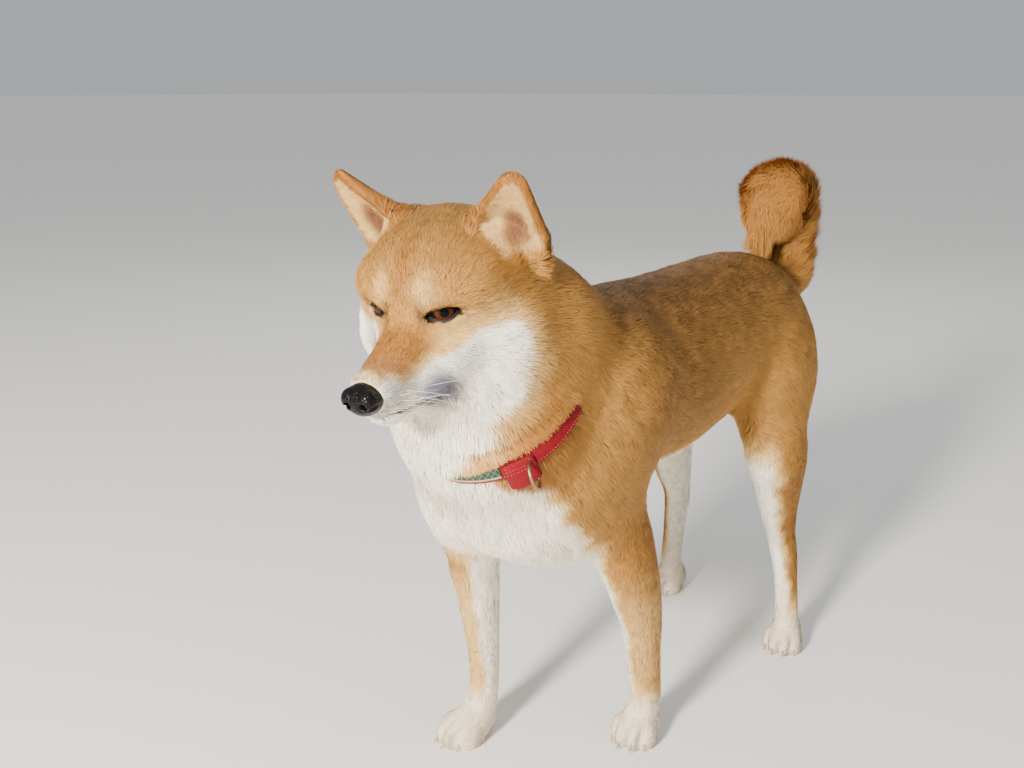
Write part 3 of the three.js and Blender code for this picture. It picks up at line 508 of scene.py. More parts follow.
def coat_table():
    """Centre, reach, lie and sizes of every patch of coat, those of the head on both sides."""
    rows = []
    for centre, reach, lie, kind in HEAD_COAT:
        for side in (1, -1) if centre[0] else (1,):
            flip = np.array([side, 1, 1])
            rows.append((from_head([centre * flip])[0], reach, HEAD_TURN @ (lie * flip), kind))
    centres, reaches, lies, kinds = zip(*rows, *BODY_COAT)
    return np.array(centres), reaches, unit(np.array(lies)), np.array([KINDS[kind] for kind in kinds])


COAT_TABLE = coat_table()


def coat_at(p):
    """Lie of the hair, and the skin depth, hair length, width and closeness, at each point."""
    lie, sizes = np.zeros((len(p), 3)), np.zeros((len(p), 4))
    total = np.zeros(len(p))
    for centre, reach, direction, size in zip(*COAT_TABLE):
        weight = 1 / (((p - centre) ** 2).sum(axis=1) / reach ** 2 + 0.12) ** 3
        total += weight
        lie += weight[:, None] * direction
        sizes += weight[:, None] * size
    return unit(lie), sizes / total[:, None]


def smooth(low, high, x):
    """0 at low, 1 at high, smooth between."""
    t = np.clip((x - low) / (high - low), 0, 1)
    return t * t * (3 - 2 * t)


def bump_at(x, centre, reach):
    """1 at the centre, falling off like a bell."""
    return np.exp(-((x - centre) / reach) ** 2)


def patch(q, centre, radii, soft=0.25):
    """1 inside an ellipsoid, falling softly to 0 outside it."""
    d = length((q - np.array(centre)) / np.array(radii, float))
    return 1 - smooth(1 - soft, 1 + soft, d)


def mirrored(q):
    """Places on the head with both sides laid on the left one."""
    return np.stack([np.abs(q[:, 0]), q[:, 1], q[:, 2]], axis=1)


def by_eye(q, far, close):
    """1 near the middle of an eye, 0 far from both."""
    return smooth(far, close, length(mirrored(q) - EYE["centre"]))


def on_ear(q):
    """1 on the shells of the ears."""
    return smooth(3, 1, np.abs(ears(q))) * smooth(30, 44, q[:, 2])


def lid_rim(q):
    """1 on the bare dark rim round each opening of the lids, widest at the inner corner."""
    out = np.zeros(len(q))
    for side in (1, -1):
        centre, across, sight, rise = eye_frame(side)
        d = q - centre
        close = (length(d) < EYE["reach"]) & (d @ sight > 0)
        u, w = d[close] @ across, d[close] @ rise
        wide = 1.5 + 1.9 * smooth(-6, -12, u) + 1.3 * smooth(8, 12, u) + 0.8 * smooth(0.5, -2, w)
        out[close] = np.maximum(out[close], smooth(0, 0.9, almond_depth(u, w) + wide))
    return out


def lip_line(q):
    """1 along the dark edges of the closed mouth."""
    away, _ = mouth_near(q)
    return smooth(2.0, 1.0, away) * smooth(2, -4, q[:, 1]) * smooth(-88, -80, q[:, 1])


def edge_at(edge, x):
    """The second column of an edge's rows, where the first is x."""
    return np.interp(x, *np.array(edge, float).T)


# The pale cheek's upper edge along the muzzle, and its back edge from the throat up, in the head's frame.
CHEEK_TOP = [
    (-60, -27), (-52, -33), (-38, -30), (-26, -27), (-15, -24), (-8, -21),
    (-2, -16), (3, -12), (11, -8), (18, -9), (24, -12), (32, -20)]
CHEEK_BACK = [(-117, -13), (-107, -12), (-96, -9), (-85, -3), (-75, 5), (-63, 15), (-40, 22), (-17, 22)]
# The pale chest's edges on the dog's left and right: height, and place across.
CHEST_LEFT = [
    (165, 57), (190, 55), (217, 57), (246, 58), (266, 56),
    (286, 50), (297, 8), (306, 10), (318, 22), (330, 34)]
CHEST_RIGHT = [(190, -66), (217, -78), (260, -86), (290, -88)]
# The red side of each leg: the way it faces, and half the angle it takes up.
LEG_RED = {"fore_left": (35, 134), "fore_right": (-163, 116), "hind_left": (62, 105), "hind_right": (165, 95)}


def face_marks(q, wave):
    """The pale cheeks and muzzle sides, and the lighter hair that fades into them."""
    over = q[:, 2] - edge_at(CHEEK_TOP, q[:, 1]) - 2 * wave
    behind = q[:, 1] - edge_at(CHEEK_BACK, q[:, 2]) + 2 * wave
    pale = smooth(8, -6, over) * smooth(8, -7, behind)
    fade = 0.34 * smooth(30, 4, over) * smooth(20, 2, behind) * smooth(14, 30, np.abs(q[:, 0]))
    return np.maximum(pale, fade) * smooth(-130, -118, q[:, 2])


def chest_marks(p, wave):
    """The pale chest and throat: narrow at the throat, wide between the shoulders."""
    x, y, z = p.T
    to_left = smooth(5, -5, x - edge_at(CHEST_LEFT, z) + 3 * wave)
    to_right = smooth(5, -5, edge_at(CHEST_RIGHT, z) - x + 3 * wave)
    ahead = smooth(-110, -165, y) * smooth(345, 330, z) * smooth(172, 212, z)
    shoulder = smooth(-46, -64, x) * smooth(-240, -218, y)
    return to_left * to_right * ahead * (1 - shoulder)


def with_legs(cream, p, normal, wave):
    """The pale share with that of the legs: its edge turns round each leg to its own angle."""
    below = smooth(250, 205, p[:, 2])
    angle = np.degrees(np.arctan2(normal[:, 1], normal[:, 0]))
    fore, left = p[:, 1] < -20, p[:, 0] > 0
    for name, (facing, half) in LEG_RED.items():
        here = (fore == name.startswith("fore")) & (left == name.endswith("left"))
        off = np.abs((angle - facing + 180) % 360 - 180)
        pale = smooth(half - 34, half + 22, off + 6 * wave)
        pale = np.maximum(pale, np.where(left, 0.3, 0.5) * smooth(215, 120, p[:, 2]) * fore)
        cream = np.where(here, np.maximum(cream, pale * below), cream)
    return np.maximum(cream, smooth(78, 34, p[:, 2])) * (1 - 0.24 * smooth(150, 40, p[:, 2]))


def toe_gaps(p):
    """1 in the seams between the toes, where painted shade goes."""
    gaps = np.zeros(len(p))
    for name, paw in PAWS.items():
        d = (p - np.array([*paw, 0.0])) @ turn_matrix((0, 0, PAW_TURN[name]), "ZYX")
        seam = np.maximum.reduce([bump_at(d[:, 0], at, 1.5) for at in (-10.2, 0.0, 10.2)])
        gaps = np.maximum(gaps, seam * smooth(-6, -15, d[:, 1]) * (np.abs(d[:, 0]) < 22) * (d[:, 1] > -40))
    return gaps * smooth(21, 15, p[:, 2])


def markings(p, normal):
    """Shares of cream, dark (tipping, with painted shade on the back and flank), rust and painted bluish-grey
    shade in the coat, and of pink in the ear.
    """
    q = to_head(p)
    m = mirrored(q)
    (across, along, up), (fore_aft, height) = m.T, p.T[1:]
    wave = 0.6 * np.sin(p[:, 0] * 0.21 + height * 0.13) + 0.5 * np.sin(fore_aft * 0.17 - height * 0.19)
    on_head, on_tail = smooth(-130, -110, up), smooth(360, 385, height) * smooth(150, 170, fore_aft)
    under = smooth(-0.25, -0.75, normal[:, 2]) * smooth(270, 250, height) * smooth(120, 160, height)
    cream = np.maximum.reduce([face_marks(q, wave), chest_marks(p, wave), under])
    cream = with_legs(cream, p, normal, wave)
    # the hair in the ear cups inside their red rims, the brows, the ear's front foot, the cap behind the nose
    cup = smooth(2.5, 0.5, ear_cup(q)) * smooth(-1.2, -3.2, ear_solid(q)) * smooth(22, 30, up)
    pink = np.maximum(0.14, patch(m, (63, 53, 47), (9, 15, 17), 0.75)) * cup
    cream = np.maximum.reduce([
        cream, 0.42 * cup, 0.3 * patch(m, (17, -9, 17), (8, 22, 11), 0.8),
        0.52 * patch(m, (60, 42, 34), (9, 10, 8), 0.8) * smooth(22, 30, up),
        0.6 * patch(m, (0, -69, -27), (13, 6, 7), 0.6)])
    cream = cream * (1 - 0.5 * smooth(0.2, 0.8, pink))
    # the tail, pale where the fringe shows at its back
    fringe = smooth(0.35, 0.95, normal[:, 1] + 0.25 * normal[:, 0])
    cream = np.maximum(cream, on_tail * (0.04 + 0.2 * fringe))
    # dark tipping on the crown; on the nape and back, dark tipping with painted shade; on the flank, painted
    # shade; dark hair at the front foot of the ears and the inner corners of the eyes
    crown = patch(m, (0, 34, 52), (50, 56, 34), 0.6)
    # dark tipping with painted shade: darker where the back faces up
    back = smooth(-0.3, 0.9, normal[:, 2]) * smooth(270, 390, height) * smooth(-250, -150, fore_aft)
    tuft = patch(m, (50, 42, 34), (6, 9, 9), 0.6)
    # painted shade on the flank behind the shoulder
    flank_shade = smooth(40, -60, fore_aft) * smooth(-190, -110, fore_aft) * smooth(230, 330, height)
    corner = patch(m, (13, -15, 2), (7, 8, 9), 0.7) * smooth(8, 14, across)
    dark = np.maximum.reduce(
        [0.3 * crown, 0.6 * back * (1 - on_tail), 0.4 * flank_shade, 0.75 * tuft, 0.85 * corner])
    # painted bluish-grey shade: at the lip's corner, in the toes' seams, under the eye, beside the nose
    painted_shade = np.maximum.reduce([
        0.95 * patch(m, (29, -28, -48), (14, 14, 13), 0.55) * on_head, 0.5 * toe_gaps(p),
        0.3 * patch(m, (44, -6, -28), (12, 12, 9), 0.7) * on_head,
        0.3 * patch(m, (0, -62, -36), (30, 20, 14), 0.7)])
    # rust: the streak between the brows, the bridge, the ears' rims and backs, the neck, the tail, the shanks
    streak = bump_at(across, 0, 6) * smooth(8, 24, up) * smooth(64, 44, up) * smooth(40, 20, along)
    bridge = smooth(26, 12, across) * smooth(-8, -24, along) * smooth(-34, -27, up)
    ear = smooth(2.5, 0.5, ears(q)) * (1 - cup) * smooth(36, 52, up)
    neck = patch(m, (74, 14, -98), (34, 34, 34), 0.6) * (1 - cream)
    shank = smooth(250, 205, height) * (1 - cream)
    rust = np.maximum.reduce(
        [0.5 * streak, 0.3 * bridge, 0.65 * ear, 0.4 * on_tail, 0.55 * neck, 0.3 * shank])
    return np.stack([cream, dark, rust, painted_shade, pink], axis=1)


class Wire:
    """An output of a shader node that can stand in a sum."""

    def __init__(self, shop, socket):
        self.shop, self.socket = shop, socket

    def maths(self, operation, *values):
        return self.shop.node("ShaderNodeMath", {"operation": operation}, dict(enumerate(values)))

    def __add__(self, other):
        return self.maths("ADD", self, other)

    def __sub__(self, other):
        return self.maths("SUBTRACT", self, other)

    def __rsub__(self, other):
        return self.maths("SUBTRACT", other, self)

    def __mul__(self, other):
        return self.maths("MULTIPLY", self, other)

    __radd__, __rmul__ = __add__, __mul__

    def sine(self):
        return self.maths("SINE", self)

    def above(self, edge):
        return self.maths("GREATER_THAN", self, edge)

    def size(self):
        return self.maths("ABSOLUTE", self)

    def between(self, low, high):
        """0 at low, 1 at high, smooth between."""
        return self.shop.node(
            "ShaderNodeMapRange", {"interpolation_type": "SMOOTHSTEP"}, {0: self, 1: low, 2: high})


class Finish:
    """One material, with its Principled shader."""

    def __init__(self, name, **constants):
        self.material = bpy.data.materials.new(name)
        self.material.use_nodes = True
        self.tree = self.material.node_tree
        self.shader = self.tree.nodes["Principled BSDF"]
        for socket, value in constants.items():
            self.shader.inputs[socket.replace("_", " ")].default_value = value

    def node(self, kind, settings, values, output=0):
        made = self.tree.nodes.new(kind)
        for key, value in settings.items():
            setattr(made, key, value)
        for key, value in values.items():
            self.put(made.inputs[key], value)
        return Wire(self, made.outputs[output])

    def put(self, socket, value):
        if isinstance(value, Wire):
            self.tree.links.new(value.socket, socket)
        elif socket.type == "RGBA" and len(value) == 3:
            socket.default_value = (*value, 1)
        else:
            socket.default_value = value

    def attribute(self, name, output=0):
        return self.node("ShaderNodeAttribute", {"attribute_name": name}, {}, output)

    def parts(self, whole_value, kind="ShaderNodeSeparateColor"):
        """The three values that a colour or a vector is made of."""
        first = self.node(kind, {}, {0: whole_value})
        return [Wire(self, socket) for socket in first.socket.node.outputs]

    def place(self):
        return self.node("ShaderNodeTexCoord", {}, {}, "Object")

    def noise(self, scale, detail=2.0):
        return self.node("ShaderNodeTexNoise", {}, {"Vector": self.place(), "Scale": scale, "Detail": detail})

    def mix(self, share, a, b):
        """Colour a where the share is 0, colour b where it is 1."""
        return self.node("ShaderNodeMix", {"data_type": "RGBA"}, {0: share, 6: a, 7: b}, 2)

    def scaled(self, colour, by):
        return self.node("ShaderNodeVectorMath", {"operation": "SCALE"}, {0: colour, "Scale": by})

    def set(self, socket, value):
        self.put(self.shader.inputs[socket], value)

    def relief(self, height, strength, distance):
        self.set("Normal", self.node(
            "ShaderNodeBump", {}, {"Height": height, "Strength": strength, "Distance": distance}))


def srgb(r, g, b):
    """A colour as the eye reads it, 0 to 255, turned to light."""
    return tuple(((c / 255 + 0.055) / 1.055) ** 2.4 if c > 10 else c / 255 / 12.92 for c in (r, g, b))


COAT = {
    "red": srgb(182, 130, 64),
    "sand": srgb(232, 190, 120),
    "cream": srgb(252, 244, 226),
    "dark": srgb(60, 40, 26),
    "rust": srgb(152, 90, 32),
    # the bluish grey of painted shade
    "painted_shade": srgb(112, 112, 128),
    "pink": srgb(106, 60, 52),
    "bare": srgb(21, 15, 16),
}


def coat_base(made, coat, painted_shade, ticking):
    """The coat's colour from its shares of cream, dark tipping with painted shade, rust and painted
    bluish-grey shade.
    """
    cream, dark, rust = made.parts(coat)
    base = made.mix(rust, COAT["red"], COAT["rust"])
    base = made.mix(dark * ticking, base, COAT["dark"])
    base = made.mix(cream.between(0.0, 0.5), base, COAT["sand"])
    base = made.mix(cream.between(0.4, 0.95), base, COAT["cream"])
    # painted bluish-grey shade laid over the coat's colour
    return made.mix(painted_shade, base, COAT["painted_shade"])


def hair_finish():
    made = Finish("coat_hair", Roughness=0.6, Specular_IOR_Level=0.15)
    rise, chance, pink = made.parts(made.attribute("hair"))
    base = coat_base(made, made.attribute("coat"), made.attribute("coat", 3), 1.0)
    base = made.mix(pink * 0.85, base, COAT["pink"])
    # painted shade: each hair darker towards its root, where the coat shades itself; chance adds a tone that
    # differs by clump and at random
    shade = 0.64 + 0.42 * rise + (chance - 0.5) * 0.5
    made.set("Base Color", made.scaled(base, shade))
    return made.material


def skin_finish():
    """The undercoat, with the bare dark rims of the lids and lips."""
    made = Finish("skin_under_coat", Specular_IOR_Level=0.25)
    grain = made.noise(900.0, 3.0)
    patches = made.noise(60.0, 2.0)
    base = coat_base(made, made.attribute("coat"), made.attribute("coat", 3), 0.55 + 0.6 * grain)
    shade = 0.6 + 0.35 * grain + 0.2 * patches
    base = made.scaled(base, shade)
    rim, pink, _ = made.parts(made.attribute("bare"))
    base = made.mix(pink, base, COAT["pink"])
    made.set("Base Color", made.mix(rim, base, COAT["bare"]))
    made.set("Roughness", 0.75 - 0.15 * rim)
    made.relief(grain, 0.5, 0.0012)
    return made.material


def eye_finish():
    made = Finish("eye_wet", Roughness=0.08, IOR=1.3, Specular_IOR_Level=0.1,
                  Coat_Weight=0.2, Coat_IOR=1.2, Coat_Roughness=0.02)
    off, height, _ = made.parts(made.attribute("iris"))
    streaks = made.noise(1400.0, 2.0)
    iris = made.mix(streaks, srgb(38, 19, 11), srgb(84, 45, 26))
    ball = made.mix(off.between(0.56, 0.70), iris, srgb(20, 13, 12))
    ball = made.mix(off.between(0.24, 0.36), srgb(7, 5, 5), ball)
    # painted shadow of the upper lid: the top of the ball darker
    made.set("Base Color", made.mix(height.between(0.52, 0.68) * 0.75, ball, srgb(9, 6, 6)))
    return made.material


def nose_finish():
    made = Finish("nose_leather", Coat_Weight=0.08, Coat_Roughness=0.15, Specular_IOR_Level=0.12)
    pebbles = made.node(
        "ShaderNodeTexVoronoi", {"feature": "SMOOTH_F1"},
        {"Vector": made.place(), "Scale": 620.0, "Smoothness": 0.3})
    tone = made.noise(160.0, 3.0)
    made.set("Base Color", made.mix(tone, srgb(5, 4, 5), srgb(15, 13, 15)))
    made.set("Roughness", 0.22 + 0.14 * tone)
    made.relief(pebbles, 0.7, 0.0007)
    return made.material


def strap_map(made):
    """Places along and across a strap, in metres."""
    return made.parts(made.node("ShaderNodeUVMap", {"uv_map": "strap"}, {}), "ShaderNodeSeparateXYZ")[:2]


def slanted(along, across, pitch):
    """Two waves that cross a strap aslant, one each way."""
    turns = 2 * math.pi / pitch
    return ((along + across) * turns).sine(), ((along - across) * turns).sine()


def weave_height(along, across, pitch):
    """Over and under of a diagonal weave."""
    twill, counter = slanted(along, across, pitch)
    return 0.5 + 0.28 * twill + 0.22 * counter


def webbing_finish():
    made = Finish(
        "red_webbing", Roughness=0.75, Specular_IOR_Level=0.15, Sheen_Weight=0.05, Sheen_Roughness=0.4)
    height = weave_height(*strap_map(made), 0.0016)
    fade = made.noise(220.0, 3.0)
    # painted shade and light in the weave: darker where it sinks, lighter where it rises
    base = made.mix(height, srgb(74, 4, 14), srgb(156, 16, 30))
    made.set("Base Color", made.mix(fade * 0.35, base, srgb(120, 14, 28)))
    made.relief(height, 0.8, 0.0005)
    return made.material


def ribbon_finish():
    """Dark green check with pale double edges."""
    made = Finish(
        "check_ribbon", Roughness=0.6, Specular_IOR_Level=0.3, Sheen_Weight=0.15, Sheen_Roughness=0.4)
    along, across = strap_map(made)
    fine = weave_height(along, across, 0.0009)
    slant, other = slanted(along, across, 0.0052)
    # painted shade and light in the fine weave: darker where it sinks, lighter where it rises
    base = made.mix(fine, srgb(18, 40, 33), srgb(38, 70, 56))
    base = made.mix((slant.above(0.9) + other.above(0.9)) * 0.45, base, srgb(128, 142, 84))
    edge = across.size().between(0.0037, 0.0039)
    base = made.mix(edge, base, srgb(214, 196, 158))
    line = across.size().between(0.0043, 0.0044) - across.size().between(0.0047, 0.0048)
    made.set("Base Color", made.mix(line, base, srgb(136, 44, 40)))
    made.relief(fine, 0.6, 0.0003)
    return made.material


def ring_finish():
    made = Finish("bronze_wire", Metallic=1.0)
    wear = made.noise(300.0, 4.0)
    made.set("Base Color", made.mix(wear, srgb(120, 98, 66), srgb(176, 150, 108)))
    made.set("Roughness", 0.28 + 0.25 * wear)
    made.relief(wear, 0.2, 0.0002)
    return made.material


def plain_finish(name, dark, light, scale, roughness):
    """Horn, thread and whisker: one tone that drifts a little."""
    made = Finish(name, Roughness=roughness)
    made.set("Base Color", made.mix(made.noise(scale, 2.0), dark, light))
    return made.material


def placed(name, data):
    """A new object in the scene, at the origin."""
    made = bpy.data.objects.new(name, data)
    bpy.context.scene.collection.objects.link(made)
    return made


def make_mesh(name, corners, faces, material):
    """A mesh from corners in millimetres about the dog's own middle, placed in the shared frame."""
    mesh = bpy.data.meshes.new(name)
    corners = (np.asarray(corners, float) + SHIFT) * MM
    if isinstance(faces, np.ndarray):
        mesh.vertices.add(len(corners))
        mesh.vertices.foreach_set("co", corners.astype(np.float32).ravel())
        mesh.loops.add(faces.size)
        mesh.loops.foreach_set("vertex_index", faces.astype(np.int32).ravel())
        mesh.polygons.add(len(faces))
        mesh.polygons.foreach_set("loop_start", np.arange(0, faces.size, faces.shape[1], dtype=np.int32))
        mesh.update(calc_edges=True)
    else:
        mesh.from_pydata(corners.tolist(), [], faces)
        mesh.update()
    mesh.shade_smooth()
    mesh.materials.append(material)
    return placed(name, mesh)


def finish_piece(piece, slot_name, *nodes):
    """Attaches a piece to its body and hides the solids that it stands for; its slot name is not used."""
    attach(piece, "root")
    if nodes:
        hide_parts(*nodes)


def read(things, what, width, kind=np.float32):
    """One property of all corners, loops or faces, as rows."""
    flat = np.zeros(len(things) * width, kind)
    things.foreach_get(what, flat)
    return flat.reshape(-1, width)


def corners_of(mesh):
    return read(mesh.vertices, "co", 3).astype(float) / MM - SHIFT


def normals_of(mesh):
    return read(mesh.vertices, "normal", 3).astype(float)


def put_colour(mesh, name, values):
    """Keeps up to four values for each corner, to be read by a material."""
    layer = mesh.attributes.new(name, "FLOAT_COLOR", "POINT")
    four = np.ones((len(values), 4), np.float32)
    four[:, :values.shape[1]] = values
    layer.data.foreach_set("color", four.ravel())


def eye_frame(side):
    """Centre and axes of an eye: across the lids, along its sight, up."""
    turn, slant = math.radians(EYE["turn"]), math.radians(EYE["slant"])
    sight = np.array([math.sin(turn), -math.cos(turn), 0.0])
    level = np.array([math.cos(turn), math.sin(turn), 0.0])
    up = np.array([0.0, 0.0, 1.0])
    across = level * math.cos(slant) + up * math.sin(slant)
    rise = -level * math.sin(slant) + up * math.cos(slant)
    flip = np.array([side, 1, 1])
    return EYE["centre"] * flip, across * flip, sight * flip, rise * flip


def bend(a, b, c, t):
    """Places on a curve from a to c that leans towards b."""
    t = t[:, None]
    return (1 - t) ** 2 * np.array(a) + 2 * t * (1 - t) * np.array(b) + t * t * np.array(c)


def to_edge(u, w, a, b):
    """Distance of places in a plane from the straight line between two points, and the share along it."""
    ab = b - a
    t = np.clip(((u - a[0]) * ab[0] + (w - a[1]) * ab[1]) / (ab @ ab), 0, 1)
    return np.hypot(u - a[0] - t * ab[0], w - a[1] - t * ab[1]), t


def almond_edge(count):
    """Points round the opening between the lids, in millimetres across and up."""
    width, height = EYE["slit"]
    inner, outer = (-width / 2, -0.6), (width / 2, 0.6)
    steps = np.arange(count // 2) / (count // 2)
    upper = bend(inner, (-width * 0.1, height * 0.95), outer, steps)
    lower = bend(outer, (width * 0.1, -height * 0.95), inner, steps)
    return np.concatenate([upper, lower])


def almond_depth(u, w):
    """How far inside the opening a place is: above 0 inside, below 0 outside."""
    edge = almond_edge(48)
    best = np.full(len(u), FAR)
    inside = np.zeros(len(u), bool)
    for a, b in zip(edge, np.roll(edge, -1, axis=0)):
        best = np.minimum(best, to_edge(u, w, a, b)[0])
        crosses = (a[1] > w) != (b[1] > w)
        span = np.where(crosses, (b[0] - a[0]) * (w - a[1]) / (b[1] - a[1] + 1e-12) + a[0], -FAR)
        inside ^= crosses & (u < span)
    return np.where(inside, best, -best)


def mouth_near(q):
    """Distance in the side view from the mouth line, and how far along it."""
    line = bend(*MOUTH, np.linspace(0, 1, 25))
    best = np.full(len(q), FAR)
    along = np.zeros(len(q))
    for n in range(len(line) - 1):
        gap, share = to_edge(q[:, 1], q[:, 2], line[n], line[n + 1])
        closer = gap < best
        best = np.where(closer, gap, best)
        along = np.where(closer, (n + share) / (len(line) - 1), along)
    return best, along


def skin_depth(p):
    """How deep the skin lies under the outline of the coat: least round the eyes and on the ears."""
    q = to_head(p)
    depth = coat_at(p)[1][:, 0]
    for share, least in ((by_eye(q, 22, 15), 0.45), (on_ear(q), 0.5)):
        depth = depth * (1 - share) + least * share
    return depth


def open_lids(q):
    """Lays the skin on each eyeball, and sinks it behind the ball inside the opening of the lids."""
    q = q.copy()
    for side in (1, -1):
        centre, across, sight, rise = eye_frame(side)
        d = q - centre
        front = d @ sight
        close = (length(d) < EYE["reach"]) & (front > -2)
        lid, u, w = front[close], d[close] @ across, d[close] @ rise
        open_by = almond_depth(u, w)
        rim, deepest = (
            np.sqrt(np.maximum((EYE["radius"] + off) ** 2 - u * u - w * w, 4)) for off in (1.0, -1.3))
        pressed = lid + (np.minimum(lid, rim) - lid) * smooth(-3.5, -0.4, open_by)
        sunk = pressed + (deepest - pressed) * smooth(0.0, 0.8, open_by)
        q[close] += (sunk - lid)[:, None] * sight
    return q


def part_lips(q):
    """Draws the mouth's line in, with a low lip along both its sides."""
    away, along = mouth_near(q)
    inwards = -unit(slope(face_field, q, face_field(q)))
    on_muzzle = smooth(2, -8, q[:, 1]) * smooth(0, 0.08, 1 - along) * (q[:, 1] < 4)
    q = q + inwards * (1.3 * bump_at(away, 0, 1.1) * on_muzzle)[:, None]
    return q - inwards * (0.5 * bump_at(away, 2.6, 1.4) * on_muzzle)[:, None]


def dress_skin(p):
    """Puts rough skin points in their place: under the coat, with the lids opened and the lips parted."""
    p = settle(standing, p, rounds=2)
    p = settle(standing, p, -skin_depth(p) * smooth(2, 9, p[:, 2]), rounds=3)
    p[:, 2] = np.maximum(p[:, 2], SOLE)
    on_head = ((p > HEAD_LOW) & (p < HEAD_HIGH)).all(axis=1)
    p[on_head] = from_head(part_lips(open_lids(to_head(p[on_head]))))
    return p


def split_where(mesh, chosen):
    """Cuts every face whose corners are all chosen into four."""
    work = bmesh.new()
    work.from_mesh(mesh)
    edges = [e for e in work.edges if chosen[e.verts[0].index] and chosen[e.verts[1].index]]
    bmesh.ops.subdivide_edges(work, edges=edges, cuts=1, use_grid_fill=True)
    work.to_mesh(mesh)
    work.free()
    mesh.update()


def make_skin(material):
    """The skin, in finer faces on the face, ears and paws, and in the finest round the eyes and lips."""
    cell = 3.4
    corners, faces = contour(whole, [-112, -385, -6], [108, 270, 512], cell)
    made = make_mesh("skin", settle(standing, corners, rounds=3, stride=cell), faces, material)
    mesh = made.data
    unwrap(made)
    p = corners_of(mesh)
    q = to_head(p)
    face = (q[:, 1] < 40) & (q[:, 2] > -80) & (length(q) < 110)
    split_where(mesh, face | ((ears(q) < 4) & (q[:, 2] > 28)) | (p[:, 2] < 32))
    q = to_head(corners_of(mesh))
    lips = (mouth_near(q)[0] < 5) & (q[:, 1] < 2)
    split_where(mesh, lips | (length(mirrored(q) - EYE["centre"]) < 20))
    places = (dress_skin(corners_of(mesh)) + SHIFT) * MM
    mesh.vertices.foreach_set("co", places.astype(np.float32).ravel())
    mesh.update()
    mesh.shade_smooth()
    return made


def unwrap(piece):
    """Lays the skin out flat on its own shape, for the coat's map."""
    piece.data.uv_layers.new(name="OFBake")
    bpy.context.view_layer.objects.active = piece
    piece.select_set(True)
    bpy.ops.object.mode_set(mode="EDIT")
    bpy.ops.mesh.select_all(action="SELECT")
    bpy.ops.uv.smart_project(angle_limit=math.radians(72), island_margin=0.001)
    bpy.ops.object.mode_set(mode="OBJECT")
    piece.select_set(False)


COAT_SEED, WHISKER_SEED = 20, 5
COAT_SHARE = 1.0
COAT_PIECES = 8


def hair_roots(mesh, dice):
    """Roots spread over the skin, as close as the coat is there, with their place on the skin's map."""
    mesh.calc_loop_triangles()
    corners = read(mesh.loop_triangles, "vertices", 3, np.int32)
    loops = read(mesh.loop_triangles, "loops", 3, np.int32)
    chart = read(mesh.uv_layers["OFBake"].data, "uv", 2)
    places, normals = corners_of(mesh), normals_of(mesh)
    a, b, c = (places[corners[:, n]] for n in range(3))
    area = length(np.cross(b - a, c - a)) / 2
    closeness = coat_at((a + b + c) / 3)[1][:, 3]
    number = np.floor(area * closeness * COAT_SHARE + dice.random(len(corners))).astype(int)
    which = np.repeat(np.arange(len(corners)), number)
    s, t = dice.random(len(which)), dice.random(len(which))
    over = s + t > 1
    s[over], t[over] = 1 - s[over], 1 - t[over]
    weights = np.stack([1 - s - t, s, t], axis=1)[:, :, None]
    root = (places[corners[which]] * weights).sum(axis=1)
    normal = unit((normals[corners[which]] * weights).sum(axis=1))
    return root, normal, (chart[loops[which]] * weights).sum(axis=1)


def bare(root):
    """True where no hair grows: lids' rims, lips, nose leather, soles, and under the collar."""
    q = to_head(root)
    out = (root[:, 2] < 1.6) | (lid_rim(q) > 0.55) | (lip_line(q) > 0.7) | (nose_solid(q) < 0.6)
    turn, height, close = round_neck(root)
    return out | (close & (np.abs(height) < COLLAR["width"] / 2 - 2.5) & (pressed_in(turn, 1) > -2))


def clump_shares(root, hair):
    """Two numbers from 0 to 1 that neighbours share, so that the coat parts in soft flakes."""
    cells = np.floor(root / np.maximum(hair * 0.55, 3)[:, None]).astype(int)
    code = (cells[:, 0] * 73856093) ^ (cells[:, 1] * 19349663) ^ (cells[:, 2] * 83492791)
    return (np.abs(code) % 9973) / 9973, (np.abs(code * 31 + 7) % 9967) / 9967


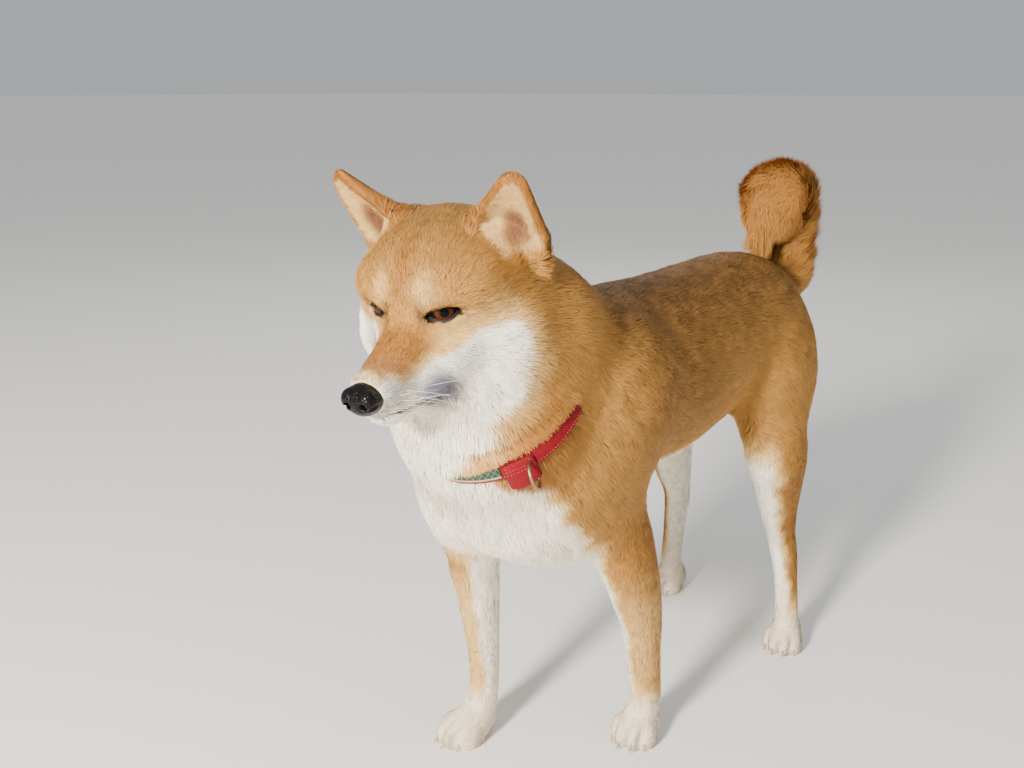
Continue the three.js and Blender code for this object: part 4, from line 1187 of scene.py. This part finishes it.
def grow(root, normal, lie, depth, hair, width, dice):
    """A blade of hair on each root: its five corners, which way it lies and faces, and its own shade."""
    amount = len(root)
    clump, lift = clump_shares(root, hair)
    way = unit(lie - normal * (lie * normal).sum(axis=1)[:, None] + 1e-6)
    fluff = smooth(8, 12, depth)
    sway = (clump - 0.5) * (0.5 + 0.9 * fluff) + dice.normal(0, 0.16, amount) * (1 + 1.4 * fluff)
    way = unit(way + np.cross(normal, way) * sway[:, None])
    roll = dice.normal(0, 0.35, amount)
    across = np.cross(normal, way) * np.cos(roll)[:, None] + normal * np.sin(roll)[:, None]
    reach = hair * (0.8 + 0.35 * dice.random(amount))
    rise = depth * (0.75 + 0.3 * lift + 0.12 * dice.random(amount)) + 0.15
    forward = np.sqrt(np.maximum(reach ** 2 - rise ** 2, (0.35 * reach) ** 2))
    # hair from above the collar ends on it
    turn, height, close = round_neck(root)
    edge = COLLAR["width"] / 2
    fall = (way @ COLLAR["normal"]) * forward
    over = close & (height > edge - 2.5) & (height + fall < edge) & (pressed_in(turn, 1) > -2)
    last = edge - pressed_in(turn, 2) - dice.random(amount) * 1.5
    forward = np.where(over, forward * np.clip((height - last) / np.maximum(-fall, 0.1), 0.3, 1), forward)
    clear = np.where(np.degrees(turn) < -68, 2.2, 1.3) + dice.random(amount)
    # long hair keeps its middle and its tip close to the outline of the coat
    middle = root + way * (forward * 0.45)[:, None] + normal * (rise * 0.62)[:, None]
    tip = root + way * forward[:, None] + normal * rise[:, None]
    long = depth > 3.0
    level = np.where(over, clear, np.minimum(rise - depth, 0.4))
    level += fluff * (7 * (lift - 0.7) + 5.5 * dice.random(amount) ** 2)
    tip[long] = settle(whole, tip[long], level[long], rounds=2, stride=12)
    level = np.where(over & (height + fall * 0.45 < edge + 2), clear, rise * 0.62 - depth)
    level += fluff * 3 * (lift - 0.5)
    middle[long] = settle(whole, middle[long], level[long], rounds=1, stride=8)
    middle[:, 2] = np.maximum(middle[:, 2], 0.35)
    tip[:, 2] = np.maximum(tip[:, 2], 0.3)
    half = across * (width * (0.8 + 0.4 * dice.random(amount)) / 2)[:, None]
    base = root - normal * 0.35
    blades = np.stack([base - half, base + half, middle - half * 0.85, middle + half * 0.85, tip], axis=1)
    return blades, way, across, 0.55 * dice.random(amount) + 0.45 * clump


# The five corners of a blade, from root to tip: how dark a dark tip is there, its painted shade (darker
# towards the root, where the coat shades itself), its place on its patch of the map.
BLADE_TIP = [0.6, 0.6, 0.8, 0.8, 1.0]
BLADE_PAINTED_SHADE = [0.0, 0.0, 0.62, 0.62, 1.0]
BLADE_PATCH = np.array([(-1, -1), (1, -1), (-1, 0.4), (1, 0.4), (0, 1)]) * 0.0015


def hair_piece(name, material, blades, normal, way, across, chance, marks, uv):
    """Some of the blades as one mesh, shaded mostly as the skin under them would be."""
    count = len(blades)
    first = (np.arange(count) * 5)[:, None]
    faces = np.concatenate([first + [0, 3, 1], first + [0, 2, 3], first + [2, 4, 3]], axis=0)
    piece = make_mesh(name, blades.reshape(-1, 3), faces, material)
    mesh = piece.data

    def each(values):
        return np.repeat(values, 5, axis=0)

    out, facing = each(normal), each(np.cross(way, across))
    facing *= np.sign((facing * out).sum(axis=1))[:, None]
    lit = unit(out + 0.55 * facing + 0.18 * each(way))
    mesh.normals_split_custom_set_from_vertices(lit.astype(np.float32))
    shares = each(marks[:, :4])
    shares[:, 1] *= each(1.4 - 0.8 * chance) * np.tile(BLADE_TIP, count)
    put_colour(mesh, "coat", np.minimum(shares, 1))
    put_colour(mesh, "hair", np.stack([np.tile(BLADE_PAINTED_SHADE, count), each(chance), each(marks[:, 4])], axis=1))
    place = each(uv) + np.tile(BLADE_PATCH, (count, 1))
    mesh.uv_layers.new(name="OFBake").data.foreach_set("uv", place[faces.ravel()].astype(np.float32).ravel())
    finish_piece(piece, "coat_red")


def make_coat(skin_mesh, material):
    """The coat, in pieces along the body so that each stays small."""
    dice = np.random.default_rng(COAT_SEED)
    root, normal, uv = hair_roots(skin_mesh, dice)
    keep = ~bare(root)
    root, normal, uv = root[keep], normal[keep], uv[keep]
    q = to_head(root)
    lie, sizes = coat_at(root)
    marks = markings(root, normal)
    eye, rim = by_eye(q, 24, 15), smooth(0.02, 0.5, lid_rim(q))
    marks[:, 1] = np.maximum(marks[:, 1], 0.8 * rim)
    marks[:, 0] *= 1 - rim
    depth = np.where(on_ear(q) > 0.5, 0.8, sizes[:, 0]) * (1 - 0.6 * eye)
    hair = sizes[:, 1] * (1 + 0.3 * marks[:, 4]) * (1 - 0.45 * eye)
    blades, way, across, chance = grow(root, normal, lie, depth, hair, sizes[:, 2], dice)
    order = np.argsort(root[:, 1], kind="stable")
    for number, group in enumerate(np.array_split(order, COAT_PIECES)):
        shares = [values[group] for values in (blades, normal, way, across, chance, marks, uv)]
        hair_piece(f"coat_{number + 1}", material, *shares)


nose_solid = mass([0, -71, -38], [14, 12.5, 12])
nose_holes = melt(
    1.2,
    paired(rod([5.6, -86, -39.5], [8.5, -76, -38], 2.9, 2.4)),
    paired(rod([9, -84, -41.5], [13.5, -76, -40], 1.3, 1.0)),
    rod([0, -85, -43], [0, -78, -56], 0.7, 0.9),
)
nose_field = hollow(1.6, melt(3, nose_solid, paired(mass([8, -77, -36], [6, 6, 7.5]))), nose_holes)


def ring_faces(count, sides, closed):
    """Four-sided faces along a row of rings of corners; open ends are capped."""
    ring = list(range(sides))
    faces = []
    for n in range(count if closed else count - 1):
        a, b = n * sides, ((n + 1) % count) * sides
        faces += [(a + i, a + (i + 1) % sides, b + (i + 1) % sides, b + i) for i in ring]
    if not closed:
        faces += [tuple(reversed(ring)), tuple(i + (count - 1) * sides for i in ring)]
    return faces


def sweep(name, places, first, second, outline, sizes, material, closed=False, low=0.0):
    """An outline carried along a path, each place with its own two axes and size."""
    corners = places[:, None] + sizes[:, None, None] * (
        outline[None, :, :1] * first[:, None] + outline[None, :, 1:] * second[:, None])
    corners = corners.reshape(-1, 3)
    corners[:, 2] = np.maximum(corners[:, 2], low)
    return face_out(make_mesh(name, corners, ring_faces(len(places), len(outline), closed), material))


def face_out(piece):
    """Turns the faces of a closed piece outwards."""
    work = bmesh.new()
    work.from_mesh(piece.data)
    bmesh.ops.recalc_face_normals(work, faces=work.faces)
    work.to_mesh(piece.data)
    work.free()
    return piece


def circle(sides, radius=1.0):
    turn = np.arange(sides) / sides * 2 * math.pi
    return np.stack([np.cos(turn), np.sin(turn)], axis=1) * radius


def axes_along(places):
    """Two axes square to a path at each of its places, the first of them level."""
    way = unit(np.gradient(places, axis=0))
    first = unit(np.cross(way, [0.0, 0.0, 1.0]))
    return first, np.cross(first, way)


def make_eye(side, material):
    """An eyeball with its clear front a little raised, with how far each place is from its sight and how high
    it stands, for the painted shadow of the upper lid.
    """
    centre = eye_frame(side)[0]
    out, lift = math.radians(GAZE["out"]), math.radians(GAZE["up"])
    sight = np.array([side * math.sin(out) * math.cos(lift), -math.cos(out) * math.cos(lift), math.sin(lift)])
    first = unit(np.cross(sight, [0, 0, 1])[None])[0]
    second = np.cross(first, sight)
    rings, spokes = ((44, 56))
    ways, radii, offs = [sight], [EYE["radius"] + 0.45], [(0.0, 0.5)]
    for ring in range(1, rings):
        angle = math.pi * ring / rings
        for spoke in range(spokes):
            turn = 2 * math.pi * spoke / spokes
            aside = first * math.cos(turn) + second * math.sin(turn)
            way = sight * math.cos(angle) + aside * math.sin(angle)
            ways.append(way)
            radii.append(EYE["radius"] - 0.25 + 0.7 * math.exp(-(angle / 0.5) ** 2))
            # how far from the sight, and the height that carries the painted shadow of the upper lid
            offs.append((min(angle / math.pi * 3.0, 1.0), 0.5 + 0.5 * way[2]))
    ways.append(-sight)
    radii.append(EYE["radius"] - 0.25)
    offs.append((1.0, 0.5))
    faces = []
    last, foot = len(ways) - 1, 1 + (rings - 2) * spokes
    for k in range(spokes):
        after = (k + 1) % spokes
        faces += [(0, 1 + k, 1 + after), (last, foot + after, foot + k)]
        faces += [(a + k, a + spokes + k, a + spokes + after, a + after) for a in range(1, foot, spokes)]
    name = "left" if side > 0 else "right"
    corners = from_head(centre + np.array(ways) * np.array(radii)[:, None])
    piece = face_out(make_mesh(f"eyeball_{name}", corners, faces, material))
    put_colour(piece.data, "iris", np.array(offs))
    finish_piece(piece, "eye", f"eye_{name}")


# Each whisker: where it starts on the muzzle's side, and how long it is.
WHISKERS = [
    (-56, -41, 30), (-52, -46, 34), (-48, -40, 38), (-44, -46, 40),
    (-40, -51, 36), (-50, -51, 28), (-37, -44, 42)]


def make_whiskers(material):
    """Fine hairs off the sides of the muzzle, bending back and down to a point."""
    made = []
    dice = np.random.default_rng(WHISKER_SEED)
    for side in (1, -1):
        for along, up, long in WHISKERS:
            reach = np.linspace(0, 60, 241)
            spots = np.stack([reach, np.full(241, along), np.full(241, up)], axis=1)
            start = reach[np.argmax(face_field(spots) > -1.5)]
            t = np.linspace(0, 1, 9)[:, None]
            swing, dip = dice.uniform(-0.25, 0.25), dice.uniform(-0.3, 0.15)
            way = unit(np.array([[0.8, 0.62 + swing, dip]]))
            path = np.array([start, along, up]) + way * long * t + np.array([-3, 6, -7]) * t ** 2
            path[:, 0] *= side
            places = from_head(path)
            first, second = axes_along(places)
            thick = 0.17 * (1 - 0.85 * t[:, 0])
            made.append(sweep("whisker", places, first, second, circle(5), thick, material))
    return join("whiskers", made)


def join(name, pieces):
    first = pieces[0]
    with bpy.context.temp_override(
            active_object=first, object=first, selected_objects=pieces, selected_editable_objects=pieces):
        bpy.ops.object.join()
    first.name = first.data.name = name
    return first


def make_nose(material):
    cell = 0.75
    corners, faces = contour(nose_field, [-17, -88, -53], [17, -56, -23], cell)
    corners = settle(nose_field, corners, rounds=2, stride=cell)
    return face_out(make_mesh("nose_pad", from_head(corners), faces, material))


def dress_face():
    eye = eye_finish()
    for side in (1, -1):
        make_eye(side, eye)
    finish_piece(make_nose(nose_finish()), "nose_leather", "nose")
    hair = plain_finish("whisker_hair", srgb(236, 232, 224), srgb(252, 250, 246), 200.0, 0.4)
    finish_piece(make_whiskers(hair), "coat_cream")


# A claw on each toe: how far ahead and down its root, bend and tip lie, and how thick each is.
CLAW = [(0.62, -1.5, 1.9), (0.9, -2.4, 1.9), (1.08, -3.9, 1.5), (1.2, -6.0, 0.95), (1.26, -7.8, 0.35)]


def dress_paws():
    horn = plain_finish("claw_horn", srgb(150, 130, 108), srgb(196, 178, 152), 300.0, 0.4)
    oval = circle(8) * np.array([0.8, 1.1])
    ahead, drop, thick = np.array(CLAW).T
    made = []
    for name, scale in PAW_SCALE.items():
        turn = math.radians(PAW_TURN[name])
        c, s = math.cos(turn) * scale, math.sin(turn) * scale
        for x, y, z, splay in TOES:
            lean, reach = math.radians(splay), 14 if splay else 15
            dx, dy = x * PAW_WIDTH + math.sin(lean) * ahead * reach, y - math.cos(lean) * ahead * reach
            spots = [PAWS[name][0] + c * dx - s * dy, PAWS[name][1] + s * dx + c * dy, (z + drop) * scale]
            places = np.stack(spots, axis=1)
            first, second = axes_along(places)
            made.append(sweep("claw", places, first, second, oval, thick, horn, low=0.3))
    finish_piece(join("claws", made), "nose_leather")


COLLAR = {
    "centre": np.array([4.0, -206.0, 354.0]), "ahead": np.array([0, 0.78, 0.627]),
    "normal": np.array([0, -0.627, 0.78]), "width": 16, "thickness": 2.6, "proud": 0.6}
KEEPER = {"from": -67, "to": -53, "low": -19, "high": 5, "under": 0.3, "top": 3.4}
RIBBON = {"from": -158, "to": -69, "width": 10.4, "under": 0.05, "top": 1.0}
RING = {"at": -55, "radius": 10.5, "wire": 1.4, "out": 9, "drop": -8}
# Angle round the neck in degrees, how far the collar is pressed into the coat there,
# and how much of its width the hair from the head's side covers.
PRESSED = [
    (-180, -5.4, 20), (-104, -5.4, 20), (-97, -2.4, 15), (-89, -0.5, 11.5), (-78, 0, 9), (-66, 0, 5),
    (-54, 0, 3.5), (-38, 0, 4.5), (-22, -0.5, 8), (-8, -5.4, 20), (180, -5.4, 20)]


def pressed_in(turn, column):
    table = np.array(PRESSED, float)
    return np.interp((np.degrees(turn) + 180) % 360 - 180, table[:, 0], table[:, column])


def round_neck(p):
    """Angle round the neck and height above the collar's middle, of each place, and which are near it."""
    d = p - COLLAR["centre"]
    turn, height = np.arctan2(d @ COLLAR["ahead"], d[:, 0]), d @ COLLAR["normal"]
    return turn, height, (np.abs(height) < 45) & (p[:, 2] > 240) & (p[:, 1] < -40)


def girth(angle, rise):
    """How far the neck's surface is from the collar's middle, and which way, at each angle and height."""
    c, s = np.cos(angle), np.sin(angle)
    way = np.stack([c + s * COLLAR["ahead"][0], s * COLLAR["ahead"][1], s * COLLAR["ahead"][2]], axis=1)
    base = COLLAR["centre"] + COLLAR["normal"] * rise[:, None]
    inside, outside = np.full(len(angle), 20.0), np.full(len(angle), 160.0)
    for _ in range(22):
        middle = (inside + outside) / 2
        hit = trunk(base + way * middle[:, None]) < 0
        inside, outside = np.where(hit, middle, inside), np.where(hit, outside, middle)
    return inside, way


def on_neck(angle, rise, lift):
    """A place lifted off the neck's surface."""
    reach, way = girth(angle, rise)
    reach = reach + lift + pressed_in(angle, 1)
    return COLLAR["centre"] + COLLAR["normal"] * rise[:, None] + way * reach[:, None]


def rounded_outline(low, high, under, over, soft, sides=4):
    """A flat section with round edges, as heights across the strap and off the fur."""
    left, right, bottom, top = low + soft, high - soft, under + soft, over - soft
    outline = []
    for n, (x, y) in enumerate([(right, top), (left, top), (left, bottom), (right, bottom)]):
        for k in range(sides + 1):
            turn = math.radians(90 * (n + k / sides))
            outline.append((x + soft * math.cos(turn), y + soft * math.sin(turn)))
    return np.array(outline)


def strap(name, start, end, outline, steps, material, bow=0.0, pinch=0.0):
    """A strap round the neck from one angle to another, with its own map in metres."""
    closed = end - start > 359
    count, sides = steps if closed else steps + 1, len(outline)
    turns = np.radians(start + (end - start) * np.arange(count) / steps)
    from_middle = np.ones((count, 1)) if closed else np.linspace(-1, 1, count)[:, None]
    lifts = outline[None, :, 1] + bow * (1 - from_middle ** 2)
    middle = (outline[:, 0].max() + outline[:, 0].min()) / 2
    rises = middle + (outline[None, :, 0] - middle) * (1 - pinch * np.abs(from_middle) ** 5)
    corners = on_neck(np.repeat(turns, sides), rises.ravel(), lifts.ravel())
    piece = make_mesh(name, corners, ring_faces(count, sides, closed), material)
    line = corners.reshape(count, sides, 3).mean(axis=1)
    hops = length(np.diff(np.concatenate([line, line[:1]]), axis=0)) * MM
    run = np.concatenate([[0], np.cumsum(hops)])
    layer = piece.data.uv_layers.new(name="strap")
    for face in piece.data.polygons:
        rows = [v // sides for v in face.vertices]
        wraps = closed and max(rows) - min(rows) > 1
        for loop, v, row in zip(face.loop_indices, face.vertices, rows):
            along = run[count] if wraps and row == 0 else run[row]
            layer.data[loop].uv = (along, outline[v % sides, 0] * MM)
    return face_out(piece)


STITCH = {"Stitch spacing": 0.0028, "Stitch length": 0.0019, "Thread radius": 0.00032}


def stitch_tree(material):
    """Stitches set along an edge: each a short round thread lying the way of the seam."""
    tree = bpy.data.node_groups.new("stitching", "GeometryNodeTree")
    tree.interface.new_socket("Seam", in_out="INPUT", socket_type="NodeSocketGeometry")
    sockets = {}
    for title, value in STITCH.items():
        made = tree.interface.new_socket(title, in_out="INPUT", socket_type="NodeSocketFloat")
        made.default_value = value
        sockets[title] = made.identifier
    tree.interface.new_socket("Stitches", in_out="OUTPUT", socket_type="NodeSocketGeometry")

    def node(kind, values=(), **settings):
        made = tree.nodes.new(kind)
        for key, value in settings.items():
            setattr(made, key, value)
        for socket, value in dict(values).items():
            if isinstance(value, bpy.types.NodeSocket):
                tree.links.new(value, made.inputs[socket])
            else:
                made.inputs[socket].default_value = value
        return made.outputs

    given = node("NodeGroupInput")
    seam = node("GeometryNodeMeshToCurve", {"Mesh": given["Seam"]})[0]
    spacing = given["Stitch spacing"]
    points = node("GeometryNodeResampleCurve", {"Curve": seam, "Length": spacing}, mode="LENGTH")[0]
    half = node("ShaderNodeMath", {0: given["Stitch length"], 1: 0.5}, operation="MULTIPLY")[0]
    thick = given["Thread radius"]
    size = node("ShaderNodeCombineXYZ", {0: thick, 1: thick, 2: half})[0]
    tangent = node("GeometryNodeInputTangent")[0]
    way = node("FunctionNodeAlignRotationToVector", {"Vector": tangent}, axis="Z")[0]
    thread = node("GeometryNodeMeshUVSphere", {"Segments": 6, "Rings": 4, "Radius": 1.0})[0]
    spread = node("GeometryNodeInstanceOnPoints", {
        "Points": points, "Instance": thread, "Rotation": way, "Scale": size})[0]
    real = node("GeometryNodeRealizeInstances", {0: spread})[0]
    round_shaded = node("GeometryNodeSetShadeSmooth", {0: real})[0]
    painted = node("GeometryNodeSetMaterial", {"Geometry": round_shaded, "Material": material})[0]
    node("NodeGroupOutput", {0: painted})
    return tree, sockets


def stitch(name, seams, tree, sockets, spacing):
    """Lays stitches along seams and turns them into a plain mesh."""
    mesh = bpy.data.meshes.new(name + "_seam")
    corners, edges = [], []
    for seam in seams:
        first = len(corners)
        corners += ((seam + SHIFT) * MM).tolist()
        edges += [(first + n, first + n + 1) for n in range(len(seam) - 1)]
    mesh.from_pydata(corners, edges, [])
    seam_piece = placed(name + "_seam", mesh)
    modifier = seam_piece.modifiers.new("stitching", "NODES")
    modifier.node_group = tree
    modifier[sockets["Stitch spacing"]] = spacing
    modifier[sockets["Stitch length"]] = spacing * 0.66
    ready = seam_piece.evaluated_get(bpy.context.evaluated_depsgraph_get())
    plain = bpy.data.meshes.new_from_object(ready)
    plain.name = name
    bpy.data.objects.remove(seam_piece)
    return placed(name, plain)


def seam_line(start, end, rise, lift, steps=240):
    turns = np.radians(np.linspace(start, end, steps))
    return on_neck(turns, np.full(steps, float(rise)), np.full(steps, float(lift)))


def make_collar():
    webbing, ribbon = webbing_finish(), ribbon_finish()
    half, face = COLLAR["width"] / 2, COLLAR["proud"]
    steps = 220
    section = rounded_outline(-half, half, face - COLLAR["thickness"], face, 0.9)
    finish_piece(strap("collar_webbing", 0, 360, section, steps, webbing), "webbing", "collar_band")
    low, high, top = KEEPER["low"], KEEPER["high"], face + KEEPER["top"]
    section = rounded_outline(low, high, face + KEEPER["under"], top, 1.6)
    fold = strap("collar_fold", KEEPER["from"], KEEPER["to"], section, 24, webbing, bow=1.2, pinch=0.22)
    finish_piece(fold, "webbing", "collar_keeper")
    wide = RIBBON["width"] / 2
    section = rounded_outline(-wide, wide, face + RIBBON["under"], face + RIBBON["top"], 0.35, 2)
    strip = strap("collar_check", RIBBON["from"], RIBBON["to"], section, steps // 2, ribbon)
    finish_piece(strip, "ribbon", "collar_ribbon")
    tree, sockets = stitch_tree(plain_finish("red_thread", srgb(150, 30, 40), srgb(206, 60, 66), 500.0, 0.6))
    edges = [seam_line(0, 360, rise, face + 0.12) for rise in (half - 2.0, 2.0 - half)]
    finish_piece(stitch("band_stitches", edges, tree, sockets, 0.0028), "webbing")
    start, end = KEEPER["from"] + 1.5, KEEPER["to"] - 1.5
    seams = [seam_line(start, end, rise, top + 0.4, 30) for rise in (high - 2.6, 0, -3)]
    finish_piece(stitch("fold_stitches", seams, tree, sockets, 0.0026), "webbing")
    finish_piece(make_ring(ring_finish()), "ring_metal", "collar_ring")


def make_ring(material):
    """The wire ring, standing edge-on in the fold of the strap."""
    reach, way = girth(np.radians([RING["at"]]), np.array([-2.0]))
    middle = COLLAR["centre"] + way[0] * (reach[0] + RING["out"]) + COLLAR["normal"] * RING["drop"]
    turn = np.arange(72) / 72 * 2 * math.pi
    outward = unit(way)[0]
    ray = outward * np.cos(turn)[:, None] + COLLAR["normal"] * np.sin(turn)[:, None]
    axle = np.tile(unit(np.cross(outward, COLLAR["normal"])[None])[0], (72, 1))
    return sweep("collar_hoop", middle + ray * RING["radius"], ray, axle, circle(14, RING["wire"]),
                 np.ones(72), material, closed=True)


SIDES = ("left", "right")
FLESH = ["torso", "neck", "head", "ear_left", "ear_right", "tail_base", "tail_curl"] + [
    f"{end}_{part}_{side}" for end in ("fore", "hind") for part in ("leg", "paw") for side in SIDES]


def dress_body():
    skin = make_skin(skin_finish())
    places = corners_of(skin.data)
    marks = markings(places, normals_of(skin.data))
    bare_face = np.maximum(lid_rim(to_head(places)), lip_line(to_head(places)))
    put_colour(skin.data, "coat", marks[:, :4])
    put_colour(skin.data, "bare", np.stack([bare_face, marks[:, 4]], axis=1))
    finish_piece(skin, "coat_red", *FLESH)
    make_coat(skin.data, hair_finish())


# The photo's camera, found from the places of the paws: place in millimetres, turn and dip in degrees,
# and focal length in pixels of the photo.
CAMERA = {"place": (541.38, -806.47, 570.5), "azimuth": 39.79, "dip": 15.14, "focal": 1105.3}
PHOTO_WIDTH, FILM_WIDTH = 1024, 36
# Each soft light: place, width, power, colour.
LIGHTS = {
    "key_light": ((0.3, -2.4, 1.25), 0.45, 190, (1, 0.95, 0.86)),
    "fill_light": ((2.3, -0.1, 1.2), 1.6, 10, (0.92, 0.96, 1)),
    "rim_light": ((-1.3, 1.9, 1.6), 1.2, 8, (1, 1, 1)),
}
LIT_PLACE = (0, -0.05, 0.28)
FLOOR_HALF = 60


def lay_floor():
    paper = Finish("floor_paper", Roughness=0.8)
    paper.set("Base Color", srgb(238, 236, 231))
    mesh = bpy.data.meshes.new("floor")
    square = [(x * FLOOR_HALF, y * FLOOR_HALF, 0) for x, y in ((-1, -1), (1, -1), (1, 1), (-1, 1))]
    mesh.from_pydata(square, [], [(0, 1, 2, 3)])
    mesh.materials.append(paper.material)
    placed("floor", mesh)


def set_lights():
    for name, (place, size, power, colour) in LIGHTS.items():
        data = bpy.data.lights.new(name, "AREA")
        data.shape, data.size, data.energy, data.color = "DISK", size, power, colour
        lamp = placed(name, data)
        lamp.location = place
        lamp.rotation_euler = (Vector(LIT_PLACE) - lamp.location).to_track_quat("-Z", "Y").to_euler()
    sky = bpy.data.lights.new("top_light", "SUN")
    sky.energy, sky.angle = 0.5, math.radians(60)
    placed("top_light", sky)
    world = bpy.data.worlds.new("studio")
    world.use_nodes = True
    glow = world.node_tree.nodes["Background"].inputs
    glow[0].default_value = (0.86, 0.89, 0.93, 1)
    glow[1].default_value = 0.52
    bpy.context.scene.world = world


def set_camera():
    lens = bpy.data.cameras.new("photo_camera")
    lens.sensor_width = FILM_WIDTH
    lens.lens = CAMERA["focal"] / PHOTO_WIDTH * FILM_WIDTH
    lens.clip_start = 0.01
    camera = placed("photo_camera", lens)
    camera.location = [v * MM for v in CAMERA["place"]]
    camera.rotation_euler = (math.radians(90 - CAMERA["dip"]), 0, math.radians(CAMERA["azimuth"]))
    bpy.context.scene.camera = camera


dress_body()
dress_face()
dress_paws()
make_collar()
lay_floor()
set_lights()
set_camera()
